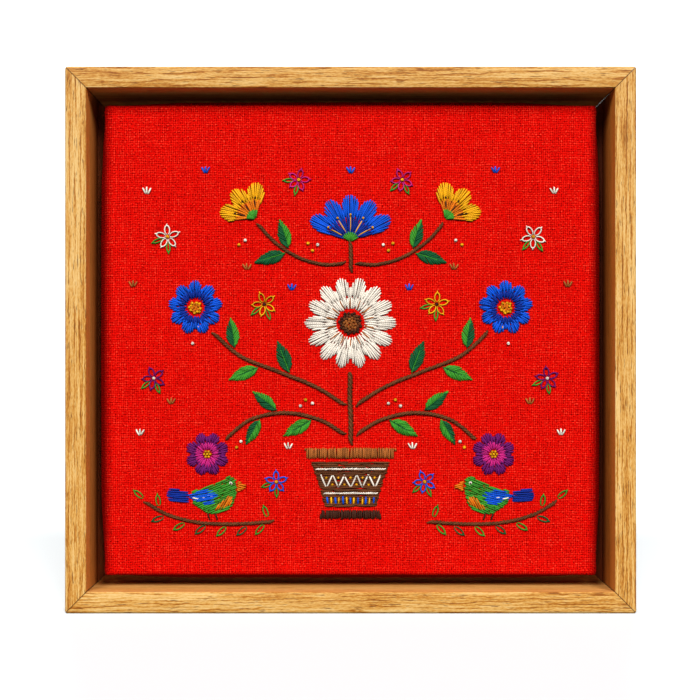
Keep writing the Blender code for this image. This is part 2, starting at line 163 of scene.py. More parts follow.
class Graph:
    """A material's nodes, with a short call for each kind that the finishes use."""

    def __init__(self, name: str) -> None:
        """Starts an empty material with one Principled shader."""
        self.material = bpy.data.materials.new(name)
        self.material.use_nodes = True
        self.tree = self.material.node_tree
        self.tree.nodes.clear()
        self.shader = self.tree.nodes.new("ShaderNodeBsdfPrincipled")
        output = self.tree.nodes.new("ShaderNodeOutputMaterial")
        self.tree.links.new(self.shader.outputs[0], output.inputs["Surface"])

    def feed(self, node: bpy.types.Node, inputs: dict[Any, Any]) -> None:
        """Links a node's inputs, by name or number, to other nodes' outputs or sets them to plain values."""
        for key, value in inputs.items():
            if isinstance(value, Value):
                self.tree.links.new(value.socket, node.inputs[key])
            else:
                node.inputs[key].default_value = value

    def dressed(self, inputs: dict[str, Any]) -> bpy.types.Material:
        """Feeds the shader and gives the finished material."""
        self.feed(self.shader, inputs)
        return self.material

    def node(self, kind: str, inputs: dict[Any, Any], **settings: Any) -> bpy.types.Node:
        """Adds a node.

        Args:
            kind: the node's type after "ShaderNode".
            inputs: what each input gets, by name or number.
            **settings: the node's own properties.

        Returns:
            The new node.
        """
        made = self.tree.nodes.new("ShaderNode" + kind)
        for key, value in settings.items():
            setattr(made, key, value)
        self.feed(made, inputs)
        return made

    def value(self, kind: str, inputs: dict[Any, Any], out: Any = 0, **settings: Any) -> Value:
        """Adds a node and gives one of its outputs."""
        return Value(self, self.node(kind, inputs, **settings).outputs[out])

    def math(self, operation: str, *numbers: Any) -> Value:
        """One step of arithmetic on numbers."""
        return self.value("Math", dict(enumerate(numbers)), operation=operation)

    def place(self, source: str = "Object") -> list[Value]:
        """The x, y and z of the object's own coordinates, or of its UV map."""
        split = self.node("SeparateXYZ", {0: self.value("TexCoord", {}, source)})
        return [Value(self, socket) for socket in split.outputs]

    def vector(self, x: Any, y: Any, z: Any = 0.0) -> Value:
        """Three numbers as a vector."""
        return self.value("CombineXYZ", {0: x, 1: y, 2: z})

    def noise(self, vector: Any, scale: float, detail: float = 2.0, roughness: float = 0.5) -> Value:
        """A smooth noise from 0 to 1 about 0.5."""
        inputs = {"Vector": vector, "Scale": scale, "Detail": detail, "Roughness": roughness}
        return self.value("TexNoise", inputs)

    def spread(self, value: Any, low: float, high: float, start: float = 0.0, end: float = 1.0) -> Value:
        """Maps low..high to start..end, held at both ends."""
        inputs = {"Value": value, "From Min": low, "From Max": high, "To Min": start, "To Max": end}
        return self.value("MapRange", inputs)

    def mix(self, share: Any, a: Any, b: Any, how: str = "MIX") -> Value:
        """Blends two colours."""
        return self.value("Mix", {0: share, 6: a, 7: b}, 2, data_type="RGBA", blend_type=how)

    def ramp(self, value: Any, stops: Sequence[tuple[float, Colour]]) -> Value:
        """A colour read along stops of (position, screen colour)."""
        made = self.node("ValToRGB", {0: value})
        elements = made.color_ramp.elements
        while len(elements) < len(stops):
            elements.new(0.5)
        for element, (position, colour) in zip(elements, stops):
            element.position = position
            element.color = linear(colour)
        return Value(self, made.outputs[0])

    def bump(self, height: Any, distance: float, strength: float) -> Value:
        """Relief from a height."""
        return self.value("Bump", {"Height": height, "Distance": distance, "Strength": strength})


class Grain(Enum):
    """The way that a bar's grain runs."""

    ACROSS = "x"
    UPRIGHT = "z"


@dataclass(frozen=True)
class WoodFinish:
    """Sawn wood: growth rings round a distant heart, pores drawn out along the grain and fine fibres.

    Shivers, breaks, pore streaks, wanders and streaks hold their numbers of features to the metre along
    and across the grain. The last two also hold how far they push the rings or their share of the tone.
    Inside the frame's opening the tone is drawn towards an even one, by the share that calm gives, and
    darkened by painted shade, which multiplies the tone from the near colour at the front to the
    deep colour inside.
    """

    name: str
    grain: Grain
    shades: tuple[Colour, ...]
    pit: Colour
    heart: Point
    corner: float
    ring: float = 2.6 * MM
    waver: float = 1.0
    shiver: float = 0.9 * MM
    calm: float = 0.0
    even: Colour = (205, 158, 86)
    # near and deep: painted shade multiplied into the tone inside the opening, at the front and deep inside.
    near: Rgba = (1.0, 1.0, 1.0, 1.0)
    deep: Rgba = (1.0, 1.0, 1.0, 1.0)
    pale: float = 0.0
    offset: float = 0.0
    pores: float = 1.0
    roughness: float = 0.5
    stops: tuple[float, ...] = (0.0, 0.24, 0.46, 0.64, 0.85, 1.0)
    shivers: Point = (170, 170)
    breaks: Point = (40, 300)
    pore_streaks: Point = (105, 1300)
    pore_share: float = 0.8
    wanders: tuple[tuple[float, ...], ...] = ((7, 45, 10 * MM), (26, 110, 5 * MM), (90, 500, 1.2 * MM))
    streaks: tuple[tuple[float, ...], ...] = (
        (26, 1000, 0.34), (80, 1800, 0.2), (420, 1500, 0.22), (9, 130, 0.24),
    )
    ring_share: float = 0.13
    joint_colour: Colour = (70, 38, 14)
    painted_shade_start: Point = (18 * MM, 9 * MM)
    painted_shade_end: float = 9 * MM

    def material(self) -> bpy.types.Material:
        """Builds the material.

        The ring number is the distance from the heart over the ring's width, pushed about by slow noise.
        A ring starts with a dark porous line and pales towards its end. Streaks of four widths are
        added to that line, and the sum goes through one ramp from light to dark wood.

        Returns:
            The wood's material.
        """
        g = Graph(self.name)
        x, y, z = g.place()
        level = self.grain is Grain.ACROSS
        along, across = (x, z) if level else (z, x)
        along = along + self.offset
        across = across + self.streak(g, (along, across, y), *self.shivers) * self.shiver
        place = (along, across, y)
        sideways = across - self.heart[0]
        inwards = y - self.heart[1]
        reach = g.math("SQRT", sideways * sideways + inwards * inwards)
        for long, fine, amount in self.wanders:
            reach = reach + self.streak(g, place, long, fine) * (amount * self.waver)
        ring = g.math("FRACT", reach / self.ring)
        line = g.math("MINIMUM", g.spread(ring, 0.0, 0.08), g.spread(ring, 0.1, 0.34, 1.0, 0.0))
        broken = g.spread(self.streak(g, place, *self.breaks), 0.42, 0.56)
        depth = line * broken * self.ring_share
        streaks = [self.streak(g, place, long, fine) for long, fine, _ in self.streaks]
        for streak, (_, _, share) in zip(streaks, self.streaks):
            depth = depth + streak * share
        depth = g.spread(depth, 0.4 + self.pale, 0.61 + self.pale)
        tone = g.ramp(depth, list(zip(self.stops, self.shades)))
        pore = g.spread(self.streak(g, place, *self.pore_streaks), 0.6, 0.66, 0.0, self.pores)
        tone = g.mix(pore * self.pore_share, tone, linear(self.pit))
        # Painted shade: inside the opening the tone is multiplied darker, from near at the front to deep
        # inside.
        start = FRONT_Y + self.painted_shade_start[0 if level else 1]
        painted_shade = g.mix(g.spread(y, start, BACK_Y - self.painted_shade_end), self.near, self.deep)
        inside, clean = self.masks(g, abs(x), abs(z - PANEL_Z))
        tone = g.mix(inside * self.calm, tone, linear(self.even))
        tone = g.mix(inside, tone, painted_shade, "MULTIPLY")
        fibre = streaks[0]
        return g.dressed({
            "Base Color": g.mix(clean, linear(self.joint_colour), tone),
            "Roughness": g.spread(fibre, 0.2, 0.8, self.roughness - 0.08, self.roughness + 0.12),
            "Specular IOR Level": 0.22,
            "Normal": g.bump(fibre * 0.4 - pore, 0.12 * MM, 0.6),
        })

    @staticmethod
    def streak(g: Graph, place: Sequence[Value], long: float, fine: float) -> Value:
        """Noise drawn out along the grain, from its numbers of features to the metre along and across it."""
        along, across, y = place
        return g.noise(g.vector(along * long, across * fine, y * fine), 1.0, 2.0, 0.6)

    def masks(self, g: Graph, aside: Value, above: Value) -> tuple[Value, Value]:
        """Where the wood's tone changes.

        Args:
            g: the material's nodes.
            aside: the distance from the picture's middle, sideways.
            above: the distance up or down from its middle.

        Returns:
            1 on the faces inside the frame's opening and 0 outside it, and how clean the wood is near
            a mitre, from the distance to the line that runs at 45 degrees from the corner.
        """
        beyond = g.math("MAXIMUM", aside - (FRAME_HALF - RAIL_FACE), above - (PANEL_Z - RAIL_FACE))
        off = abs(aside - self.corner - above)
        return g.spread(beyond, 0.0, 0.08 * MM, 1.0, 0.0), g.spread(off, 0.15 * MM, 0.6 * MM, 0.25, 1.0)


@dataclass(frozen=True)
class LinenFinish:
    """Plain-woven linen: warp over weft and weft over warp, with yarns of uneven thickness and colour.

    Where the linen turns onto its sides and its bottom, painted shade darkens it towards the turned
    colour. The fields for that hold how much, where it starts, where it's full, where it starts to fade
    and where it has faded.
    """

    name: str = "red_linen"
    warp_pitch: float = 1.24 * MM
    weft_pitch: float = 1.36 * MM
    wander: float = 1.4
    wander_scale: float = 60.0
    patch_scale: float = 1100.0
    top: Colour = (215, 9, 3)
    # pit: the painted shade between the yarns, and also the colour that some yarns are tinted towards.
    pit: Colour = (96, 0, 0)
    painted_highlight_fleck: Colour = (240, 71, 46)
    sheen: Colour = (255, 70, 50)
    # The colour of the painted shade where the linen turns onto its sides and its bottom.
    turned: Colour = (30, 0, 0)
    flat: Point = (0.14, 0.13)
    side_painted_shade: tuple[float, ...] = (0.54, -2.4 * MM, 1.6 * MM, 4 * MM, 11 * MM)
    low_painted_shade: tuple[float, ...] = (0.82, 2.4 * MM, 3.3 * MM, 10 * MM, 16 * MM)

    def material(self) -> bpy.types.Material:
        """Builds the material on the sheet's flat cut, which its UV map holds in metres.

        A yarn's round top is the sine across it. It rises and dips along its length by the sine of
        the crossings that it passes, in turn with its neighbour, and the higher of the two yarns shows.

        Returns:
            The linen's material.
        """
        g = Graph(self.name)
        across, up, _ = g.place("UV")
        wander = g.noise(g.vector(across, up), self.wander_scale, 3.0)
        drift = g.noise(g.vector(up, across, 3.0), self.wander_scale, 3.0)
        warp = across / self.warp_pitch + wander * self.wander
        weft = up / self.weft_pitch + drift * self.wander
        warp_top, warp_slub, warp_tint = self.yarn(g, warp, weft, 0.0)
        weft_top, weft_slub, weft_tint = self.yarn(g, weft, warp, 1.0)
        height = g.math("MAXIMUM", warp_top * warp_slub, weft_top * weft_slub)
        over = g.math("GREATER_THAN", warp_top, weft_top)
        under = g.math("SUBTRACT", 1.0, over)
        tint = warp_tint * over + weft_tint * under
        patch = g.noise(g.vector(across, up, 7.0), self.patch_scale, 2.0, 0.6)
        shade = height * 0.72 + g.spread(patch, 0.25, 0.75, -0.28, 0.46)
        # The ramp paints shade and highlights: low places go to the pit colour as painted shade between the
        # yarns, high crossings to the fleck colour as a painted highlight, and a slow patch noise varies it.
        tone = g.ramp(shade, [(0.1, self.pit), (0.46, self.top), (0.66, self.top), (1.0, self.painted_highlight_fleck)])
        tone = g.mix(g.spread(tint, 0.35, 0.75, 0.0, 0.22), tone, linear(self.pit))
        # Painted shade: the linen is darkened towards the turned colour where it turns onto its sides and
        # its bottom.
        side = self.turn(g, abs(across) - self.flat[0], self.side_painted_shade)
        low = self.turn(g, up * -1.0 - self.flat[1], self.low_painted_shade)
        return g.dressed({
            "Base Color": g.mix(g.math("MAXIMUM", side, low), tone, linear(self.turned)),
            "Roughness": 0.85,
            "Specular IOR Level": 0.02,
            "Sheen Weight": 0.01,
            "Sheen Roughness": 0.5,
            "Sheen Tint": linear(self.sheen),
            "Normal": g.bump(height, 0.28 * MM, 0.8),
        })

    @staticmethod
    def turn(g: Graph, beyond: Value, rule: Sequence[float]) -> Value:
        """How much painted shade darkens the linen at a distance beyond the flat front, by one of the two
        rules.
        """
        most, start, full, fade, gone = rule
        return g.spread(beyond, start, full, 0.0, most) * g.spread(beyond, fade, gone, 1.0, 0.0)

    @staticmethod
    def yarn(g: Graph, own: Value, other: Value, turn: float) -> tuple[Value, Value, Value]:
        """One set of yarns.

        Args:
            g: the material's nodes.
            own: the place across the yarns, one whole number a yarn.
            other: the place along them, one whole number a crossing.
            turn: 0 for warp and 1 for weft, which dips where the warp rises.

        Returns:
            The height of a yarn's surface, its thickness and its tint, each about 0 to 1.
        """
        number = g.math("FLOOR", own)
        round_top = g.math("SINE", g.math("FRACT", own) * math.pi)
        rise = g.math("SINE", (other + number + turn) * math.pi) * 0.5 + 0.5
        thick = g.noise(g.vector(number * 3.7, other * 0.11, turn), 1.0, 1.0)
        tint = g.noise(g.vector(number * 5.3, other * 0.05, turn + 9.0), 1.0, 1.0)
        return round_top * (rise * 0.75 + 0.25), g.spread(thick, 0.25, 0.75, 0.55, 1.15), tint


class Thread(Enum):
    """The cottons of the work: each has a screen colour and the record's slot nearest to it."""

    CREAM = ((247, 235, 218), "thread_cream")
    TAN = ((172, 98, 42), "thread_tan")
    BROWN = ((104, 58, 30), "thread_brown")
    DARK_BROWN = ((66, 34, 21), "thread_dark_brown")
    GREEN = ((60, 146, 42), "thread_green")
    DARK_GREEN = ((16, 86, 46), "thread_dark_green")
    BLUE = ((12, 84, 212), "thread_blue")
    DEEP_BLUE = ((10, 44, 142), "thread_blue")
    YELLOW = ((244, 172, 18), "thread_yellow")
    ORANGE = ((226, 116, 16), "thread_yellow")
    PURPLE = ((104, 20, 98), "thread_purple")
    MAGENTA = ((196, 34, 122), "thread_purple")


@dataclass(frozen=True)
class CottonFinish:
    """Soft twisted cotton: plies that wind round the yarn, with fine fibres along them."""

    thread: Thread
    plies: int = 2
    twist: float = 2.3
    # deep: the dark end, as a share of the cotton's colour, that painted shade in the grooves and the random
    # tone reach towards.
    deep: float = 0.2

    def material(self) -> bpy.types.Material:
        """Builds the material, once for each cotton.

        The UV map holds the length along the yarn in millimetres and the turn round it. A ply's round
        back is the sine of the turn and the length together, so that its grooves run slantwise; the
        grooves are painted darker as shade. The yarn's sides, where the sine of the turn is low, lie in
        the grooves of the work and get painted shade.

        Returns:
            The cotton's material.
        """
        shade, _ = self.thread.value
        name = "cotton_" + self.thread.name.lower()
        found = bpy.data.materials.get(name)
        if found:
            return found
        g = Graph(name)
        length, turn, _ = g.place("UV")
        tone = g.value("Attribute", {}, "Fac", attribute_name="tone")
        lay = turn * float(self.plies) + length / (self.twist / self.plies)
        ply = g.math("POWER", abs(g.math("SINE", lay * math.pi)), 0.6)
        fibre = g.noise(g.vector(lay * 9.0, length * 0.8, tone * 40.0), 1.0, 3.0, 0.6)
        fleece = g.noise(g.vector(length, turn * 3.0, tone * 25.0), 0.9, 2.0)
        # The ply term paints shade into the grooves between plies; the fibre, tone and fleece terms are the
        # cotton's own uneven colour.
        tone_and_painted_shade = ply * 0.38 + g.spread(fibre, 0.25, 0.75, 0.42, 0.78)
        tone_and_painted_shade = tone_and_painted_shade * g.spread(tone, 0.0, 1.0, 0.8, 1.16)
        tone_and_painted_shade = tone_and_painted_shade * g.spread(fleece, 0.3, 0.7, 0.86, 1.1)
        # Painted shade: the yarn's sides, down in the grooves between yarns, are darkened.
        tone_and_painted_shade = tone_and_painted_shade * g.spread(g.math("SINE", turn * (2 * math.pi)), 0.0, 0.85, 0.3, 1.06)
        dark = tuple(self.deep * c for c in shade)
        return g.dressed({
            "Base Color": g.mix(g.spread(tone_and_painted_shade, 0.3, 1.05), linear(dark), linear(shade)),
            "Roughness": 0.44,
            "Specular IOR Level": 0.07,
            "Normal": g.bump(ply * 0.7 + fibre * 0.5, 0.16 * MM, 0.8),
        })


@dataclass(frozen=True)
class MetalFinish:
    """Dull plated steel, brushed by handling."""

    name: str = "plated_steel"
    colour: Colour = (196, 190, 176)
    cloud: Colour = (150, 142, 126)

    def material(self) -> bpy.types.Material:
        """Builds the material: two tones that a fine noise blends, and it roughens the metal too."""
        g = Graph(self.name)
        cloud = g.noise(g.vector(*g.place()), 900.0, 3.0)
        return g.dressed({
            "Base Color": g.mix(cloud, linear(self.colour), linear(self.cloud)),
            "Metallic": 1.0,
            "Roughness": g.spread(cloud, 0.3, 0.7, 0.28, 0.46),
        })


def mesh_piece(
    name: str, points: Array, faces: Sequence[Array],
    uv: Array | None = None, tone: Array | None = None, paint: Array | None = None,
) -> Piece:
    """Makes an object of whole arrays.

    Args:
        name: the piece's name.
        points: (n, 3) places in metres.
        faces: arrays of faces, each (count, corners) of point numbers.
        uv: (corners of all faces, 2) texture places, in the order of the faces.
        tone: (n,) a number from 0 to 1 for each point.
        paint: (faces,) the number of each face's material.

    Returns:
        The object, at the origin, shaded smooth.
    """
    sizes = np.concatenate([np.full(len(f), f.shape[1]) for f in faces])
    corners = np.concatenate([f.reshape(-1) for f in faces]).astype(np.int32)
    mesh = bpy.data.meshes.new(name)
    mesh.vertices.add(len(points))
    mesh.vertices.foreach_set("co", np.ascontiguousarray(points, np.float32).reshape(-1))
    mesh.loops.add(len(corners))
    mesh.loops.foreach_set("vertex_index", corners)
    mesh.polygons.add(len(sizes))
    mesh.polygons.foreach_set("loop_start", (np.cumsum(sizes) - sizes).astype(np.int32))
    if paint is not None:
        mesh.polygons.foreach_set("material_index", paint.astype(np.int32))
    if uv is not None:
        mesh.uv_layers.new(name="lay").data.foreach_set("uv", uv.astype(np.float32).reshape(-1))
    if tone is not None:
        mesh.attributes.new("tone", "FLOAT", "POINT").data.foreach_set("value", tone.astype(np.float32))
    mesh.update(calc_edges=True)
    mesh.validate()
    mesh.shade_smooth()
    made = bpy.data.objects.new(name, mesh)
    bpy.context.scene.collection.objects.link(made)
    return made


def report(piece: Piece, slot: str, replaced: Sequence[str] = ()) -> None:
    """Rides a piece on the body, hides the nodes that it stands for, and logs it with its slot."""
    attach(piece, BODY)
    if replaced:
        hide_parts(*replaced)
    LOG.info("%s: %d faces, slot %s", piece.name, len(piece.data.polygons), slot)


def bridge(rings: int, count: int) -> Array:
    """Quads that join closed rings of points laid one after another: (quads, 4) point numbers."""
    low = np.arange(rings - 1)[:, None] * count
    here = np.arange(count)[None, :]
    ahead = (here + 1) % count
    return columns(low + here, low + ahead, low + count + ahead, low + count + here).reshape(-1, 4)


def end_faces(rings: int, count: int) -> Array:
    """The flat faces over the first and the last of such rings: (2, count) point numbers."""
    low = np.arange(count)
    return np.stack([low[::-1], low + (rings - 1) * count])


def outward_faces(piece: Piece) -> None:
    """Turns a closed piece's faces outwards."""
    shape = bmesh.new()
    shape.from_mesh(piece.data)
    bmesh.ops.recalc_face_normals(shape, faces=shape.faces)
    shape.to_mesh(piece.data)
    shape.free()


def closed(name: str, points: Array, rings: int) -> Piece:
    """A closed solid of rings, with a flat face over the first and the last."""
    count = len(points) // rings
    made = mesh_piece(name, points, [bridge(rings, count), end_faces(rings, count)])
    outward_faces(made)
    return made


def cut_hole(piece: Piece, cutter: Piece) -> None:
    """Cuts the piece with a closed cutter, keeps the result as its mesh and removes the cutter."""
    change = piece.modifiers.new("hole", "BOOLEAN")
    change.object = cutter
    change.solver = "EXACT"
    shown = bpy.context.evaluated_depsgraph_get()
    old = piece.data
    piece.data = bpy.data.meshes.new_from_object(piece.evaluated_get(shown))
    piece.modifiers.clear()
    piece.data.name = piece.name
    bpy.data.meshes.remove(old)
    bpy.data.objects.remove(cutter, do_unlink=True)


def turned_points(profile: Array, centre: Sequence[float], sides: int) -> Array:
    """A profile of (radius, y) carried round an axis along Y: x = r cos t, z = r sin t.

    Args:
        profile: (k, 2) radii and places along Y.
        centre: x and z of the axis.
        sides: how many points go round.

    Returns:
        (k * sides, 3) places, ring after ring.
    """
    turn = all_round(sides)
    x = centre[0] + profile[:, :1] * np.cos(turn)
    z = centre[1] + profile[:, :1] * np.sin(turn)
    return columns(x, profile[:, 1:], z).reshape(-1, 3)


@dataclass(frozen=True)
class Board:
    """The length of board that a bar is sawn from, and the painted shade on its wall inside the opening."""

    side: str
    heart: Point
    offset: float
    pale: float = 0.0
    # Painted shade that multiplies the wall's tone inside the opening, near the front and deep inside.
    near: Rgba = (1.0, 1.0, 1.0, 1.0)
    deep: Rgba = (1.0, 1.0, 1.0, 1.0)

    @property
    def grain(self) -> Grain:
        """The grain runs along the bar."""
        return Grain.ACROSS if self.side in ("bottom", "top") else Grain.UPRIGHT


@dataclass
class OakFrame:
    """The four mitred oak rails, each an L section with rounded arrises and holes for its screws."""

    face: float = RAIL_FACE
    ledge: float = 19.7 * MM
    ledge_thick: float = 7 * MM
    outer_round: float = 1.5 * MM
    inner_round: float = 0.7 * MM
    small_round: float = 0.3 * MM
    mitre_gap: float = 0.02 * MM
    mitre_round: float = 0.14 * MM
    corner_round: float = 1.5 * MM
    corner_steps: int = 4
    shades: tuple[Colour, ...] = (
        (215, 178, 114), (208, 164, 95), (197, 146, 71), (181, 123, 47), (161, 99, 26), (138, 78, 12),
    )
    pit: Colour = (104, 58, 16)
    calm: float = 0.55
    upright_waver: float = 0.4
    # Each board ends with the painted shade of its wall inside the opening, near the front and deep inside.
    boards: tuple[Board, ...] = (
        Board("bottom", (0.075, -0.035), 0.0, 0.02, (0.98, 0.83, 0.8, 1.0), (0.72, 0.46, 0.32, 1.0)),
        Board("top", (0.375, 0.03), 1.7, 0.004, (1.0, 0.97, 0.9, 1.0), (0.9, 0.7, 0.5, 1.0)),
        Board("left", (-0.232, 0.035), 3.1, 0.018, (0.96, 0.62, 0.42, 1.0), (0.36, 0.12, 0.03, 1.0)),
        Board("right", (0.238, -0.02), 4.6, 0.018, (0.77, 0.46, 0.23, 1.0), (0.27, 0.08, 0.02, 1.0)),
    )

    def profile(self) -> Array:
        """The rail's section as (inwards, y) points: an L with each outward corner turned on an arc."""
        outer, inner, small = self.outer_round, self.inner_round, self.small_round
        ledge_y = BACK_Y - self.ledge_thick
        reach = self.face + self.ledge
        return np.concatenate([
            arc((outer, FRONT_Y + outer), outer, 180, 270, 6),
            arc((self.face - inner, FRONT_Y + inner), inner, 270, 360, 4),
            [(self.face, ledge_y)],
            arc((reach - small, ledge_y + small), small, 270, 360, 2),
            arc((reach - small, BACK_Y - small), small, 0, 90, 2),
            arc((outer, BACK_Y - outer), outer, 90, 180, 4),
        ])

    def round_off(self, x: Array, z: Array) -> tuple[Array, Array]:
        """Rounds the outer corners: in the last square, distances along the axes become radii."""
        over_x = np.maximum(np.abs(x) - FRAME_HALF + self.corner_round, 0)
        over_z = np.maximum(np.abs(z) - PANEL_Z + self.corner_round, 0)
        shrink = np.maximum(over_x, over_z) / np.maximum(np.hypot(over_x, over_z), 1e-9)
        shrink = np.where((over_x > 0) & (over_z > 0), shrink, 1.0)
        return x - np.sign(x) * over_x * (1 - shrink), z - np.sign(z) * over_z * (1 - shrink)

    def rail(self, side: str) -> Piece:
        """One rail: its section carried along it, cut at 45 degrees and drawn in a little at both ends."""
        across, up = WAYS[side]
        whole = self.profile()
        inward = unit(quarter_turn(np.roll(whole, -1, axis=0) - np.roll(whole, 1, axis=0)))
        steps = np.linspace(0.25, 1, self.corner_steps) * self.corner_round
        shorts = math.sqrt(2) * (np.concatenate([[0, self.mitre_round], steps]) + self.mitre_gap)
        near_end = [(-1, short, i == 0) for i, short in enumerate(shorts)]
        stations = []
        for end, short, drawn in near_end + [(1, short, drawn) for _, short, drawn in near_end[::-1]]:
            inwards, y = (whole + inward * self.mitre_round * drawn).T
            half_x = FRAME_HALF - inwards
            half_z = PANEL_Z - inwards
            x = across * half_x if across else end * (half_x - short)
            z = up * half_z if up else end * (half_z - short)
            x, z = self.round_off(x, z)
            stations.append(columns(x, y, PANEL_Z + z))
        return closed(f"oak_rail_{side}", np.concatenate(stations), len(stations))

    def build(self) -> None:
        """Makes, cuts and dresses the rails, each from its own length of board."""
        for board in self.boards:
            rail = self.rail(board.side)
            SCREWS.cut(rail, board.side)
            rail.data.set_sharp_from_angle(angle=SHARP_ANGLE)
            finish = WoodFinish(
                f"oak_{board.side}", board.grain, self.shades, self.pit, board.heart, FRAME_HALF - PANEL_Z,
                waver=1.0 if board.grain is Grain.ACROSS else self.upright_waver,
                calm=self.calm, near=board.near, deep=board.deep, pale=board.pale, offset=board.offset,
            )
            rail.data.materials.append(finish.material())
            report(rail, "oak", [f"frame_{board.side}"])


@dataclass
class Screws:
    """Countersunk screws with a crossed recess, and the holes that clear them."""

    radius: float = 1.75 * MM
    head_radius: float = 3.5 * MM
    rim: float = 0.3 * MM
    length: float = 20 * MM
    point: float = 3 * MM
    sink: float = 0.5 * MM
    clearance: float = 0.35 * MM
    inset: float = 26.5 * MM
    spacing: float = 145 * MM
    sides: int = 48
    recess_reach: float = 2.1 * MM
    recess_half: float = 0.45 * MM
    recess_depth: float = 1.1 * MM
    recess_turn: float = 60

    def places(self, side: str) -> list[tuple[str, float, float]]:
        """The name, x and z of the two screws through one rail."""
        across, up = WAYS[side]
        x = across * (FRAME_HALF - self.inset)
        z = PANEL_Z + up * (PANEL_Z - self.inset)
        half = self.spacing / 2
        return [
            (f"screw_{side}_{n}", x + s * abs(up) * half, z + s * abs(across) * half)
            for n, s in ((1, -1), (2, 1))
        ]

    def cut(self, piece: Piece, side: str) -> None:
        """Cuts one rail's holes: each a drilled and countersunk turned solid that stands out of the back."""
        head = BACK_Y - self.sink
        rim = head - self.rim - self.clearance * math.tan(math.pi / 8)
        neck = rim - (self.head_radius - self.radius)
        wide, slim = self.head_radius + self.clearance, self.radius + self.clearance
        profile = np.array([
            (slim, head - self.length), (slim, neck), (wide, rim), (wide, BACK_Y + self.radius),
        ])
        for _, x, z in self.places(side):
            cut_hole(piece, closed("hole_cutter", turned_points(profile, (x, z), self.sides), len(profile)))

    def recess(self, radius: Array, turn: Array) -> Array:
        """How far the head's face is sunk at radii and angles: a cross of two bars with sloping sides."""
        x = np.abs(radius * np.cos(turn))
        z = np.abs(radius * np.sin(turn))
        slope = self.recess_half * 0.3
        in_bar = np.clip((self.recess_half - np.minimum(x, z)) / slope + 0.5, 0, 1)
        in_reach = np.clip((self.recess_reach - np.maximum(x, z)) / slope, 0, 1)
        return self.recess_depth * in_bar * in_reach

    def build(self) -> None:
        """Makes the eight screws, each turned from point to head and then across the head's face."""
        head = BACK_Y - self.sink
        shank = [
            (0.2 * self.radius, head - self.length),
            (self.radius, head - self.length + self.point),
            (self.radius, head - self.rim - (self.head_radius - self.radius)),
            (self.head_radius, head - self.rim),
            (self.head_radius, head),
        ]
        face = np.concatenate([np.linspace(0.93, 0.7, 3), np.linspace(0.66, 0.02, 22)]) * self.head_radius
        profile = np.concatenate([shank, columns(face, head)])
        turn = all_round(self.sides)
        steel = MetalFinish().material()
        for name, x, z in (place for side in WAYS for place in self.places(side)):
            rings = turned_points(profile, (x, z), self.sides).reshape(len(profile), self.sides, 3)
            rings[len(shank):, :, 1] -= self.recess(face[:, None], turn[None, :] + x * self.recess_turn)
            piece = closed(f"{name}_steel", rings.reshape(-1, 3), len(profile))
            piece.data.set_sharp_from_angle(angle=SHARP_ANGLE)
            piece.data.materials.append(steel)
            report(piece, "steel", [name])


SCREWS = Screws()


